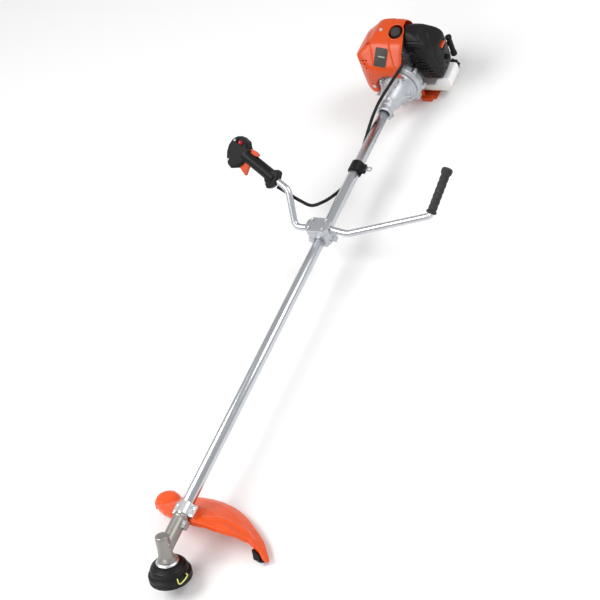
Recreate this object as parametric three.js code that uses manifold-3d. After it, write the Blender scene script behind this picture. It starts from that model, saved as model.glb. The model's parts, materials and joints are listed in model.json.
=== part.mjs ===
// Petrol string trimmer with a bull-horn handlebar, in millimetres, +Z up.
//
// It lies as it does on the ground: the shaft is level along Y, the engine is at +Y and the cutting head at -Y.
// +X is the operator's left. The origin is on the flat underside of the engine's stand, straight below the shaft's axis.

import * as THREE from 'three';
import { mergeVertices } from 'three/addons/utils/BufferGeometryUtils.js';
import Module from 'manifold-3d';

const wasm = await Module();
wasm.setup();

// ---- driving dimensions ----

const clearance = 0.3; // between pieces that touch or fit
const slideClearance = 0.6; // around buttons, levers and triggers

const shaftHeight = 103; // drive axis above the ground
const tubeRadius = 14;
const tubeWall = 1.5;
const tubeLength = 1340;
const driveRodRadius = 4;

// gear case and spindle, in the head's own frame
const spindleTilt = THREE.MathUtils.degToRad(24.2); // spindle against the vertical
const caseRadius = 15.5;
const caseTop = 37;
const caseBottom = -27;
const caseWall = 3;
const caseFlangeRadius = 21;
const socketEnd = 85; // end of the sleeve that takes the tube
const socketWall = 3.2;
const tubeStop = 31; // how close to the spindle the tube reaches
const spindleRadius = 5;
const spindleEnd = -58;
const bearingWidth = 9;
const bearingRing = 3.2;

// bevel gears
const pinionTeeth = 15;
const gearTeeth = 19;
const coneNear = 13;
const coneFar = 20;
const toothDepth = 1.2;

// string head
const dustCoverRadius = 26;
const dustCoverDepth = 6;
const domeRadius = 43;
const rimRadius = 49;
const headWall = 2.6;
const domeDepth = 27; // from the dust cover down to the rim
const rimDepth = 12;
const spoolRadius = 35;
const spoolWidth = 14;
const baseThickness = 3.5;
const knobRadius = 25;
const knobDrop = 14; // how far the bump knob stands out of the base
const bumpTravel = 6;
const lineRadius = 1.3;

// guard
const guardWall = 3;
const guardReach = 196; // rear edge from the spindle
const guardClampOffset = 103; // clamp from the spindle, along the tube
const clampPlateLength = 30;
const clampPlateReach = 27;
const clampPlateThickness = 2.5;
const guardLean = [10.8, 1.7]; // the roof leans up to the rear and down to the operator's left, in degrees
const footLean = [5, 1.7];
const lipDepth = 12;
const bladeThickness = 1.6;

// handlebar
const barOffset = 461; // handlebar clamp in front of the tube's rear end
const barTilt = THREE.MathUtils.degToRad(45); // plane of the bars, leaning to the operator
const barRadius = 8.5;
const barAboveTube = 2.5; // metal between the bars and the tube
const barRise = tubeRadius + barAboveTube + barRadius; // bar axis above the tube axis
const barStep = 8; // length of each straight facet of a bent bar
const barWall = 1.5;
const clampWidth = 66;
const clampLength = 46;
const clampTop = 41;
const clampBottom = -20;
const screwSpacingX = 39;
const screwSpacingY = 27;
const screwRadius = 2.5;
const screwHeadRadius = 4.5;
const leftBarReach = 301;
const leftBarRise = 55;
const leftGripLength = 115;
const leftGripRadius = 10.8;
const rightBarReach = 70;
const rightBarRise = 91;
const handleThickness = 30;
const gripRadius = 16.4;
const triggerThickness = 11;

// carrying clip
const clipOffset = 232; // in front of the tube's rear end
const clipLength = 30;
const clipWall = 4.5;
const eyeletRadius = 8;
const eyeletHole = 4.5;
const eyeletThickness = 3;

// engine, along Y from the clutch case to the starter
const collarRadius = 20.5;
const collarLength = 37;
const coneRadius = 47;
const coneLength = 60;
const flangeRadius = 54;
const flangeThickness = 9;
const caseGripDepth = 34; // how much of the tube the clutch case holds
const tubeRear = -149; // rear end of the tube
const drumRadius = 34;
const drumDepth = 19;
const fanHousingRadius = 63;
const fanHousingDepth = 26;
const flywheelRadius = 55;
const fanBlades = 14;
const crankcaseRadius = 38;
const crankcaseLength = 85;
const crankRadius = 7;
const cylinderRadius = 24;
const finReach = 33;
const finCount = 7;
const finPitch = 8;
const finThickness = 2.4;
const cylinderFoot = 40;
const starterRadius = 60;
const starterDepth = 56;
const coverWall = 2.5;
const coverBack = 32;
const coverRight = 43;
const filterCoverInner = 45;
const filterCoverOuter = 114;
const tankGap = 0.4;
const standThickness = 5;
const standWidth = 126;
const standFront = -20;
const standBack = 60;

// ---- derived places ----

const spindleY = tubeRear - tubeLength - tubeStop;
const barY = tubeRear - barOffset;
const clipY = tubeRear - clipOffset;
const guardY = spindleY + guardClampOffset;
const collarFront = tubeRear - caseGripDepth;
const coneFront = collarFront + collarLength;
const flangeFront = coneFront + coneLength;
const flangeBack = flangeFront + flangeThickness;
const fanFront = flangeBack + clearance;
const fanBack = fanFront + fanHousingDepth;
const crankcaseFront = fanBack + clearance;
const crankcaseBack = crankcaseFront + crankcaseLength;
const starterFront = crankcaseBack + clearance;
const starterBack = starterFront + starterDepth;

// ---- colours ----

const finish = (color, roughness, metalness) => new THREE.MeshStandardMaterial({ color, roughness, metalness });
const orange = finish(0xe8541c, 0.35, 0);
const guardOrange = finish(0xff5a26, 0.4, 0);
const black = finish(0x26262a, 0.5, 0);
const aluminium = finish(0xbec3cb, 0.35, 0.9);
const castGrey = finish(0x7d766e, 0.5, 0.8);
const steel = finish(0xaaaeb4, 0.3, 1);
const headBlack = finish(0x18181b, 0.4, 0);
const lineYellow = finish(0xe6e682, 0.4, 0);
const tankWhite = finish(0xeef0f2, 0.4, 0);
const red = finish(0xb01822, 0.4, 0);
const foam = finish(0x3c3c40, 0.95, 0);
const labelGrey = finish(0x3a332e, 0.4, 0);

// ---- building blocks ----

// A closed three.js geometry as a solid that can be joined and cut.
function toSolid(geometry) {
  const bare = geometry.clone();
  bare.deleteAttribute('normal');
  bare.deleteAttribute('uv');
  const merged = mergeVertices(bare, 1e-4);
  const index = merged.index.array;
  const kept = [];
  for (let i = 0; i < index.length; i += 3) {
    const [a, b, c] = [index[i], index[i + 1], index[i + 2]];
    if (a !== b && b !== c && c !== a) kept.push(a, b, c);
  }
  const vertProperties = new Float32Array(merged.attributes.position.array);
  return new wasm.Manifold(new wasm.Mesh({ numProp: 3, vertProperties, triVerts: new Uint32Array(kept) }));
}

function toGeometry(solid) {
  const mesh = solid.getMesh();
  const geometry = new THREE.BufferGeometry();
  geometry.setAttribute('position', new THREE.BufferAttribute(new Float32Array(mesh.vertProperties), 3));
  geometry.setIndex(new THREE.BufferAttribute(new Uint32Array(mesh.triVerts), 1));
  return geometry.toNonIndexed();
}

const join = (...solids) => solids.reduce((all, solid) => all.add(solid));
const cut = (body, ...tools) => tools.reduce((rest, tool) => rest.subtract(tool), body);
const common = (...solids) => solids.reduce((all, solid) => all.intersect(solid));

function block(x0, x1, y0, y1, z0, z1) {
  const geometry = new THREE.BoxGeometry(x1 - x0, y1 - y0, z1 - z0);
  return toSolid(geometry.translate((x0 + x1) / 2, (y0 + y1) / 2, (z0 + z1) / 2));
}

// Rods along one axis, from one coordinate to another, round the given centre.
function rodX(radius, from, to, y = 0, z = 0, sides = 20) {
  const geometry = new THREE.CylinderGeometry(radius, radius, to - from, sides).rotateZ(-Math.PI / 2);
  return toSolid(geometry.translate((from + to) / 2, y, z));
}

function rodY(radius, from, to, x = 0, z = 0, sides = 20) {
  return toSolid(new THREE.CylinderGeometry(radius, radius, to - from, sides).translate(x, (from + to) / 2, z));
}

function rodZ(radius, from, to, x = 0, y = 0, sides = 20) {
  const geometry = new THREE.CylinderGeometry(radius, radius, to - from, sides).rotateX(Math.PI / 2);
  return toSolid(geometry.translate(x, y, (from + to) / 2));
}

// Turned pieces: a closed profile of [radius, height] pairs, round Y or round Z.
function latheGeometry(profile, sides) {
  const points = profile.map(([radius, height]) => new THREE.Vector2(radius, height));
  const touchesAxis = profile[0][0] === 0;
  if (!touchesAxis) points.push(points[0].clone());
  const area = points.reduce((sum, p, i) => {
    const q = points[(i + 1) % points.length];
    return sum + p.x * q.y - q.x * p.y;
  }, 0);
  return new THREE.LatheGeometry(area > 0 ? points : points.reverse(), sides);
}

const turnY = (profile, sides = 32) => toSolid(latheGeometry(profile, sides));
const turnZ = (profile, sides = 32) => toSolid(latheGeometry(profile, sides).rotateX(Math.PI / 2));

const shapeOf = (outline) => new THREE.Shape(outline.map(([x, y]) => new THREE.Vector2(x, y)));

// Outlines pushed straight: [x, y] along Z, [x, z] along Y and [y, z] along X.
function slabZ(outline, from, to) {
  const geometry = new THREE.ExtrudeGeometry(shapeOf(outline), { depth: to - from, bevelEnabled: false });
  return toSolid(geometry.translate(0, 0, from));
}

function slabY(outline, from, to) {
  const geometry = new THREE.ExtrudeGeometry(shapeOf(outline), { depth: to - from, bevelEnabled: false });
  return toSolid(geometry.rotateX(Math.PI / 2).translate(0, to, 0));
}

function slabX(outline, from, to) {
  const geometry = new THREE.ExtrudeGeometry(shapeOf(outline), { depth: to - from, bevelEnabled: false });
  geometry.rotateX(Math.PI / 2).rotateZ(Math.PI / 2);
  return toSolid(geometry.translate(from, 0, 0));
}

// The outline moved inwards by a distance, corner by corner. It runs anticlockwise.
function inset(outline, distance) {
  const side = (from, to) => {
    const length = Math.hypot(to[0] - from[0], to[1] - from[1]);
    return [(to[0] - from[0]) / length, (to[1] - from[1]) / length];
  };
  return outline.map((corner, i) => {
    const before = side(outline[(i + outline.length - 1) % outline.length], corner);
    const after = side(corner, outline[(i + 1) % outline.length]);
    const normal = [-before[1] - after[1], before[0] + after[0]];
    const scale = distance / (1 + before[0] * after[0] + before[1] * after[1]);
    return [corner[0] + normal[0] * scale, corner[1] + normal[1] * scale];
  });
}

// A path of straight runs with rounded corners.
function roundedPath(corners, radii) {
  const path = new THREE.CurvePath();
  let start = corners[0];
  for (let i = 1; i < corners.length - 1; i++) {
    const back = corners[i - 1].clone().sub(corners[i]).normalize();
    const ahead = corners[i + 1].clone().sub(corners[i]).normalize();
    const reach = radii[i - 1] / Math.tan(back.angleTo(ahead) / 2);
    const enter = corners[i].clone().addScaledVector(back, reach);
    const leave = corners[i].clone().addScaledVector(ahead, reach);
    path.add(new THREE.LineCurve3(start, enter));
    path.add(new THREE.QuadraticBezierCurve3(enter, corners[i], leave));
    start = leave;
  }
  path.add(new THREE.LineCurve3(start, corners.at(-1)));
  return path;
}

// A regular ring of points, as the section of a bar or cord.
function circle(radius, sides) {
  return Array.from({ length: sides }, (_, i) => {
    const angle = (2 * Math.PI * i) / sides;
    return [radius * Math.cos(angle), radius * Math.sin(angle)];
  });
}

function sweep(path, radius, bore, sides, steps) {
  const section = shapeOf(circle(radius, sides));
  if (bore) section.holes.push(new THREE.Path(circle(bore, sides).map(([x, y]) => new THREE.Vector2(x, y))));
  return toSolid(new THREE.ExtrudeGeometry(section, { steps, extrudePath: path, bevelEnabled: false }));
}

function piece(name, solid, material) {
  const mesh = new THREE.Mesh(toGeometry(solid), material);
  mesh.name = name;
  return mesh;
}

function place(group, x, y, z, turnAboutX = 0, turnAboutZ = 0) {
  group.position.set(x, y, z);
  group.rotation.set(turnAboutX, 0, turnAboutZ);
  return group;
}

function assembly(...pieces) {
  const group = new THREE.Group();
  group.add(...pieces);
  return group;
}

// ---- shaft ----

function shaftTube() {
  const front = tubeRear - tubeLength;
  return turnY([[tubeRadius, front], [tubeRadius, tubeRear], [tubeRadius - tubeWall, tubeRear], [tubeRadius - tubeWall, front]]);
}

function driveShaft() {
  return rodY(driveRodRadius, spindleY + coneFar * Math.cos(pinionAngle) + clearance, drumFront() - clearance, 0, 0, 12);
}

// ---- gear case and string head, round the spindle ----

const shaftDirection = new THREE.Vector3(0, Math.cos(spindleTilt), Math.sin(spindleTilt));

// Moves a solid built along +Y from the shaft's frame into the head's frame.
function alongShaft(geometry) {
  return toSolid(geometry.rotateX(spindleTilt));
}

const earOffset = 66; // the clamping ear, from the spindle along the tube
const earBoltX = tubeRadius + socketWall + 5.5;

function gearCase() {
  const socketRadius = tubeRadius + socketWall;
  const sleeve = new THREE.CylinderGeometry(socketRadius, socketRadius, socketEnd, 20).translate(0, socketEnd / 2, 0);
  const boreLength = socketEnd - tubeStop + 1;
  const bore = new THREE.CylinderGeometry(tubeRadius + clearance, tubeRadius + clearance, boreLength, 20);
  bore.translate(0, tubeStop + boreLength / 2 - clearance, 0);
  const pinionRoom = new THREE.CylinderGeometry(tubeRadius - tubeWall, tubeRadius - tubeWall, tubeStop, 20);
  pinionRoom.translate(0, tubeStop / 2 + 5, 0);
  const ear = new THREE.BoxGeometry(15, 20, 15).translate(socketRadius + 2.5, earOffset, 0);
  const earSlot = new THREE.BoxGeometry(30, 40, 2.5).translate(socketRadius + 6, earOffset + 14, 0);
  const earHole = new THREE.CylinderGeometry(3.3, 3.3, 60, 12).rotateX(Math.PI / 2).translate(earBoltX, earOffset, 0);
  const body = turnZ([
    [0, caseBottom], [caseFlangeRadius, caseBottom], [caseFlangeRadius, caseBottom + 4], [caseRadius + 1, caseBottom + 12],
    [caseRadius, 6], [caseRadius, caseTop - 2], [caseRadius - 2, caseTop], [0, caseTop],
  ], 22);
  const gearRoom = rodZ(gearRadius(coneFar) + 0.9, 3, 20);
  const shaftRoom = rodZ(spindleRadius + bearingRing, caseBottom - 1, caseTop - caseWall);
  return cut(
    join(alongShaft(sleeve), body, alongShaft(ear)),
    alongShaft(bore), alongShaft(pinionRoom), gearRoom, shaftRoom, alongShaft(earSlot), alongShaft(earHole),
  );
}

function caseClampBolt() {
  const bolt = new THREE.CylinderGeometry(3, 3, 19, 12).rotateX(Math.PI / 2).translate(earBoltX, earOffset, -0.5);
  const head = new THREE.CylinderGeometry(4.6, 4.6, 4, 6).rotateX(Math.PI / 2).translate(earBoltX, earOffset, 9.8);
  return join(alongShaft(bolt), alongShaft(head));
}

// Pitch cones of the bevel pair share the point where the two axes meet.
const pitchAngle = Math.PI / 2 - spindleTilt;
const pinionAngle = Math.atan(Math.sin(pitchAngle) / (gearTeeth / pinionTeeth + Math.cos(pitchAngle)));
const gearAngle = pitchAngle - pinionAngle;
const gearRadius = (distance) => distance * Math.sin(gearAngle);
const pinionRadius = (distance) => distance * Math.sin(pinionAngle);

// A straight-toothed cone along +Y: every second point of its rim is sunk by the tooth depth.
function toothedCone(nearRadius, farRadius, nearHeight, farHeight, bore, teeth) {
  const profile = [[bore, nearHeight], [nearRadius, nearHeight], [farRadius, farHeight], [bore, farHeight]];
  const geometry = latheGeometry(profile, teeth * 2);
  const place = geometry.attributes.position;
  for (let i = 0; i < place.count; i++) {
    const [x, z] = [place.getX(i), place.getZ(i)];
    const radius = Math.hypot(x, z);
    const step = Math.round((Math.atan2(x, z) / (2 * Math.PI)) * teeth * 2);
    if (radius < bore + 0.1 || step % 2 === 0) continue;
    const sunk = 1 - toothDepth / farRadius;
    place.setX(i, x * sunk);
    place.setZ(i, z * sunk);
  }
  return geometry;
}

function bevelPinion() {
  const backOff = 0.5;
  const cone = toothedCone(
    pinionRadius(coneNear) - backOff, pinionRadius(coneFar) - backOff,
    coneNear * Math.cos(pinionAngle), coneFar * Math.cos(pinionAngle), driveRodRadius - 1.5, pinionTeeth,
  );
  return toSolid(cone);
}

function bevelGear() {
  const backOff = 0.5;
  const cone = toothedCone(
    gearRadius(coneNear) - backOff, gearRadius(coneFar) - backOff,
    coneNear * Math.cos(gearAngle), coneFar * Math.cos(gearAngle), spindleRadius + clearance, gearTeeth,
  );
  return toSolid(cone.rotateX(Math.PI / 2));
}

function outputSpindle() {
  return rodZ(spindleRadius, spindleEnd, caseTop - caseWall - 1, 0, 0, 16);
}

function spindleBearing() {
  const inner = spindleRadius + clearance;
  const outer = spindleRadius + bearingRing - clearance;
  return turnZ([[inner, caseBottom + 2], [outer, caseBottom + 2], [outer, caseBottom + 2 + bearingWidth], [inner, caseBottom + 2 + bearingWidth]], 20);
}

const dustTop = caseBottom - clearance;
const headTop = dustTop - dustCoverDepth - clearance;
const rimTop = headTop - domeDepth;
const headBottom = rimTop - rimDepth;
const baseBottom = headBottom - clearance - baseThickness;
const knobBottom = baseBottom - knobDrop;
const spindleBore = spindleRadius + clearance;

function dustCover() {
  return turnZ([
    [spindleBore, dustTop], [dustCoverRadius - 7, dustTop], [dustCoverRadius, dustTop - dustCoverDepth + 2],
    [dustCoverRadius, dustTop - dustCoverDepth], [spindleBore, dustTop - dustCoverDepth],
  ], 28);
}

// The housing's two line eyelets stand on opposite sides of the dome.
function headHousing() {
  const dome = [
    [spindleBore, headTop], [dustCoverRadius - 4, headTop], [dustCoverRadius + 3, headTop - 3], [domeRadius - 6, headTop - 11],
    [domeRadius - 1, headTop - 16], [domeRadius - 1, headTop - 19], [domeRadius, headTop - 20], [domeRadius, rimTop + 3],
    [rimRadius, rimTop], [rimRadius, headBottom],
  ];
  const hollow = [
    [rimRadius - headWall, headBottom], [rimRadius - headWall, rimTop - headWall], [domeRadius - headWall, rimTop],
    [domeRadius - headWall, headTop - 20], [domeRadius - 10, headTop - 13], [dustCoverRadius, headTop - 5], [spindleBore, headTop - 4],
  ];
  const shell = turnZ([...dome, ...hollow], 22);
  const eyeletHeight = rimTop + 6;
  const eyelets = rodX(4.5, -domeRadius - 2, domeRadius + 2, 0, eyeletHeight, 12);
  const middle = rodX(5, -domeRadius + 3, domeRadius - 3, 0, eyeletHeight, 12);
  const holes = rodX(2, -domeRadius - 3, domeRadius + 3, 0, eyeletHeight, 10);
  return cut(join(shell, cut(eyelets, middle)), holes);
}

function headSpool() {
  const top = rimTop + 9;
  const low = top - spoolWidth;
  const hub = 16;
  return turnZ([
    [7, top], [spoolRadius, top], [spoolRadius, top - 2], [hub, top - 2],
    [hub, low + 2], [spoolRadius, low + 2], [spoolRadius, low], [7, low],
  ], 24);
}

function headBase() {
  const top = headBottom - clearance;
  const bore = knobRadius + slideClearance;
  return turnZ([[bore, top], [rimRadius, top], [rimRadius, top - baseThickness + 1], [rimRadius - 2, baseBottom], [bore, baseBottom]], 28);
}

function bumpKnob() {
  const top = headBottom - 0.5;
  return turnZ([
    [0, top], [knobRadius, top], [knobRadius, knobBottom + 4], [knobRadius - 4, knobBottom], [0, knobBottom],
  ], 24);
}

// The line's free end: out of the eyelet on the operator's left, forward above the rim, with its tip turned up.
function nylonLine() {
  const around = rimRadius + lineRadius + 2;
  const level = rimTop + 6;
  const start = [domeRadius + 2 + clearance, 0, level];
  const arc = [-0.12, -0.3, -0.5, -0.7].map((angle) => [around * Math.cos(angle), around * Math.sin(angle), level - 1]);
  const tip = [around * Math.cos(-0.86), around * Math.sin(-0.86), level + 9];
  const corners = [start, [around - 1, -1, level], ...arc, tip].map((p) => new THREE.Vector3(...p));
  return sweep(new THREE.CatmullRomCurve3(corners, false, 'centripetal'), lineRadius, 0, 8, 26);
}

function stringHead() {
  return assembly(
    piece('gear_case', gearCase(), castGrey),
    piece('case_clamp_bolt', caseClampBolt(), steel),
    piece('spindle_bearing', spindleBearing(), steel),
    piece('bevel_gear', bevelGear(), steel),
    piece('output_spindle', outputSpindle(), steel),
    piece('dust_cover', dustCover(), aluminium),
    piece('head_housing', headHousing(), headBlack),
    piece('head_spool', headSpool(), headBlack),
    piece('head_base', headBase(), headBlack),
    piece('bump_knob', bumpKnob(), headBlack),
    piece('nylon_line', nylonLine(), lineYellow),
    piece('guard', guard(), guardOrange),
    piece('cutter_holder', cutterHolder(), black),
    piece('line_cutter', lineCutter(), steel),
  );
}

// ---- guard, in the head's frame: a fan-shaped roof with a lip all round ----

const guardOutline = [
  [-24, 78], [30, 78], [84, 82], [119, 90], [150, 103], [176, 100], [188, 91], [197, 91], [199, 102], [185, 118],
  [168, 135], [140, 152], [108, 172], [76, 188], [20, 199], [-20, 197], [-46, 192], [-80, 187], [-104, 184],
  [-122, 177], [-129, 163], [-122, 146], [-108, 128], [-86, 106], [-60, 90],
];

// Falling roof: height over distance from the spindle, before it is leaned.
const guardRoof = [[0, 28], [100, 26], [140, 14], [180, -8], [232, -53]];
const guardFront = 80; // the roof is leaned about its front edge
const guardFloor = -120;

function umbrella(drop = 0, lean = guardLean) {
  const lowered = guardRoof.map(([radius, height]) => [radius, height - drop]);
  const whole = turnZ([[0, guardFloor], [guardRoof.at(-1)[0], guardFloor], ...lowered.reverse()], 40);
  return whole.rotate([lean[0], lean[1], 0]).translate([0, 0, -guardFront * Math.sin(THREE.MathUtils.degToRad(lean[0]))]);
}

// Everything below the ground, in the head's frame.
function ground(clear = 0) {
  const slab = new THREE.BoxGeometry(600, 600, 200).translate(0, 0, -shaftHeight + clear - 100);
  return toSolid(slab.rotateX(spindleTilt));
}

// The round cup at the guard's end on the operator's right.
function guardCup(wall = 0) {
  const [radius, top] = [31 - wall, 19 - wall];
  const cup = turnZ([[0, guardFloor], [radius, guardFloor], [radius, top - 14], [radius - 7, top - 3], [radius - 16, top], [0, top]], 24);
  return cup.translate([-97, 155, 0]);
}

function guard() {
  const lipThickness = guardWall + 0.5;
  const outside = common(slabZ(guardOutline, guardFloor, 60), umbrella());
  const inside = common(slabZ(inset(guardOutline, lipThickness), guardFloor - 1, 61), umbrella(guardWall));
  const shell = cut(join(outside, guardCup()), join(inside, guardCup(guardWall)), umbrella(lipDepth, footLean), ground());
  const padLength = clampPlateLength + 4;
  const pad = new THREE.BoxGeometry(2 * clampPlateReach, padLength, 24).translate(0, guardClampOffset, -5 - clampPlateThickness - 12);
  const seatRadius = tubeRadius + clampPlateThickness + 2 * clearance;
  const seat = new THREE.CylinderGeometry(seatRadius, seatRadius, 80, 20).translate(0, guardClampOffset, 0);
  return cut(join(shell, alongShaft(pad)), alongShaft(seat), gearCaseRoom());
}

// Room for the gear case's sleeve in front of the guard's clamp.
function gearCaseRoom() {
  const radius = tubeRadius + socketWall + 1;
  return alongShaft(new THREE.CylinderGeometry(radius, radius, 80, 24).translate(0, socketEnd - 40 + 1.5, 0));
}

const cutterFoot = -58;

// It hangs on the front lip: a block below the lip, and a tongue behind it up to the roof.
function cutterHolder() {
  const hanging = common(block(161, 178, 95, 114, cutterFoot, 0), umbrella(lipDepth + 0.5, footLean));
  const tongue = common(block(163, 176, 107, 114, cutterFoot, 0), umbrella(guardWall + 0.5));
  return join(hanging, tongue);
}

function lineCutter() {
  const outline = [[162, 96], [182, 90], [192, 94], [192, 101], [178, 112], [162, 112]];
  return slabZ(outline, cutterFoot - clearance - bladeThickness, cutterFoot - clearance);
}

// ---- guard clamp, on the tube ----

function saddle(upper) {
  const inner = tubeRadius + clearance;
  const outer = inner + clampPlateThickness;
  const half = clampPlateLength / 2;
  const seam = -2;
  const [low, high] = upper ? [seam, seam + clampPlateThickness] : [seam - clearance - clampPlateThickness, seam - clearance];
  const keep = upper ? block(-60, 60, -half, half, low, 60) : block(-60, 60, -half, half, -60, high);
  const ears = block(-clampPlateReach, clampPlateReach, -half, half, low, high);
  return cut(join(common(rodY(outer, -half, half), keep), ears), rodY(inner, -half - 1, half + 1));
}

function guardClampPlate() {
  const bolts = [];
  for (const x of [-21.5, 21.5]) {
    for (const y of [-8.5, 8.5]) bolts.push(rodZ(3.4, -2 + clampPlateThickness - 0.5, -2 + clampPlateThickness + 3, x, y, 6));
  }
  return join(saddle(true), ...bolts);
}

function guardClamp() {
  return assembly(
    piece('guard_clamp_plate', guardClampPlate(), steel),
    piece('guard_bracket', saddle(false), steel),
  );
}

// ---- carrying clip ----

function harnessClip() {
  const inner = tubeRadius + clearance;
  const outer = inner + clipWall;
  const half = clipLength / 2;
  const ears = block(outer - 4, outer + 9, -half + 3, half - 3, -6, 6);
  const slot = block(inner - 2, outer + 10, -half - 1, half + 1, -eyeletThickness / 2 - clearance, eyeletThickness / 2 + clearance);
  return cut(join(rodY(outer, -half, half, 0, 0, 24), ears), rodY(inner, -half - 1, half + 1, 0, 0, 24), slot);
}

function harnessEyelet() {
  const centre = tubeRadius + clipWall + 19;
  const tongue = block(tubeRadius + 2, centre, -6, 6, -eyeletThickness / 2, eyeletThickness / 2);
  const ring = rodZ(eyeletRadius, -eyeletThickness / 2, eyeletThickness / 2, centre, 0, 20);
  return cut(join(tongue, ring), rodZ(eyeletHole, -10, 10, centre, 0, 16));
}

function carryingClip() {
  return assembly(
    piece('harness_clip', harnessClip(), black),
    piece('harness_eyelet', harnessEyelet(), steel),
  );
}

// ---- handlebar ----

const barBore = barRadius + clearance;

function clampOutline(grow) {
  const [x, y, corner] = [clampWidth / 2 + grow, clampLength / 2 + grow, 11];
  return [[-x + corner, -y], [x - corner, -y], [x, -y + corner], [x, y - corner], [x - corner, y], [-x + corner, y], [-x, y - corner], [-x, -y + corner]];
}

function barClampTop() {
  const plate = slabZ(clampOutline(0), barRise + clearance, clampTop);
  const holes = screwPlaces().map(([x, y]) => rodZ(screwRadius + clearance, barRise - 1, clampTop + 1, x, y, 12));
  return cut(plate, rodX(barBore, -clampWidth, clampWidth, 0, barRise, 24), ...holes);
}

function barClampBase() {
  const upper = slabZ(clampOutline(0), -4, barRise);
  const taper = slabY([[-clampWidth / 2, -4], [-14, clampBottom], [14, clampBottom], [clampWidth / 2, -4], [clampWidth / 2, 2], [-clampWidth / 2, 2]], -clampLength / 2 + 3, clampLength / 2 - 3);
  const lug = block(18, clampWidth / 2 + 4, -7, 7, -14, 2);
  const holes = screwPlaces().map(([x, y]) => rodZ(screwRadius + clearance, barRise - 21, barRise + 1, x, y, 12));
  return cut(
    join(upper, taper, lug),
    rodY(tubeRadius + clearance, -clampLength, clampLength, 0, 0, 28),
    rodX(barBore, -clampWidth, clampWidth, 0, barRise, 24), ...holes,
  );
}

function screwPlaces() {
  return [-1, 1].flatMap((x) => [-1, 1].map((y) => [(x * screwSpacingX) / 2, (y * screwSpacingY) / 2]));
}

function clampScrew([x, y]) {
  const head = rodZ(screwHeadRadius, clampTop + clearance, clampTop + clearance + 4, x, y, 12);
  const socket = rodZ(2, clampTop + 2.3, clampTop + 6, x, y, 6);
  return join(cut(head, socket), rodZ(screwRadius, barRise - 20, clampTop + 1, x, y, 10));
}

function handlebarClamp() {
  const screws = screwPlaces().map((spot, i) => piece(`clamp_screw_${i + 1}`, clampScrew(spot), steel));
  return assembly(
    piece('clamp_top', barClampTop(), aluminium),
    piece('clamp_base', barClampBase(), aluminium),
    ...screws,
  );
}

// The bars lie in one tilted plane: x to the operator's left, y up the plane.
const leftGripAngle = THREE.MathUtils.degToRad(70.5);
const handleAngle = THREE.MathUtils.degToRad(148.5);
const inPlane = (x, y) => new THREE.Vector3(x, y, 0);
const barGap = 0.6;

function leftBar() {
  const inGrip = 70;
  const end = inPlane(leftBarReach + inGrip * Math.cos(leftGripAngle), leftBarRise + inGrip * Math.sin(leftGripAngle));
  const path = roundedPath([inPlane(barGap, 0), inPlane(38, 0), inPlane(80, -6), inPlane(leftBarReach, leftBarRise), end], [20, 50, 14]);
  return sweep(path, barRadius, barRadius - barWall, 10, Math.ceil(path.getLength() / barStep));
}

const handleStart = 12; // from the bar's last bend to the handle's base

function rightBar() {
  const inGrip = 62;
  const end = inPlane(-rightBarReach - 24.5 + (handleStart + 22 + inGrip) * Math.cos(handleAngle), rightBarRise + (handleStart + 22 + inGrip) * Math.sin(handleAngle));
  const path = roundedPath([inPlane(-barGap, 0), inPlane(-rightBarReach, 0), inPlane(-rightBarReach - 24.5, rightBarRise), end], [20, 34]);
  return sweep(path, barRadius, barRadius - barWall, 10, Math.ceil(path.getLength() / barStep));
}

function leftGrip() {
  const [body, length, bore] = [leftGripRadius, leftGripLength, barRadius + clearance];
  const profile = [[0, 72], [bore, 72], [bore, 0], [12.4, 0], [12.4, 5]];
  const ribs = 6;
  for (let i = 0; i < ribs; i++) {
    const start = 7 + (i * (length - 28)) / ribs;
    profile.push([body - 0.7, start], [body, start + 3], [body, start + 11]);
  }
  profile.push([body - 0.7, length - 19], [13.6, length - 14], [13.6, length - 6], [10, length], [0, length]);
  return turnY(profile, 12);
}

// ---- throttle handle, in its own frame: x out along the grip, y down to the trigger's side ----

const handleHead = [[108, -20], [117, -23], [127, -34], [146, -35], [159, -31], [169, -17], [171, 4], [167, 20], [159, 34], [146, 47], [132, 50], [116, 38], [108, 22]];
const handleFlare = [[1, -5], [7, -21], [13, -24], [22, -22], [30, -14], [38, 14], [28, 24], [18, 31], [10, 28], [5, 20], [0, 8]];
const triggerPivot = [100, 2];
const lockoutPivot = [112, -12];

function handleBody() {
  const half = handleThickness / 2;
  const rounded = (outline) => join(
    slabZ(outline, -half + 5, half - 5),
    slabZ(inset(outline, 2.5), -half + 1.5, half - 1.5),
    slabZ(inset(outline, 5.5), -half, half),
  );
  const grip = rodX(gripRadius, 14, 122, 0, 0, 20);
  const flare = join(slabZ(handleFlare, -half + 6, half - 6), slabZ(inset(handleFlare, 2.5), -half + 3, half - 3));
  const fingerSlot = block(76, 122, -7, 60, -triggerThickness / 2 - slideClearance, triggerThickness / 2 + slideClearance);
  const lockoutSlot = block(80, 117, -40, -7, -5 - slideClearance, 5 + slideClearance);
  const switchPocket = block(133, 153, -28, -16, half - 5, half + 5);
  const barHole = rodX(barRadius + clearance, -2, 72, 0, 0, 20);
  return cut(join(rounded(handleHead), grip, flare), fingerSlot, lockoutSlot, switchPocket, barHole);
}

function handleHalf(front) {
  const [from, to] = front ? [clearance / 2, 60] : [-60, -clearance / 2];
  return common(handleBody(), block(-10, 200, -80, 80, from, to));
}

function throttleTrigger() {
  const half = triggerThickness / 2;
  const [x, y] = triggerPivot;
  const blade = slabZ([[x - 6, y + 2], [x + 6, y - 2], [x + 13, y + 18], [x + 14, y + 33], [x + 2, y + 37], [x - 12, y + 41], [x - 9, y + 26]], -half, half);
  return join(blade, rodZ(5, -half, half, x, y, 16));
}

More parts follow.
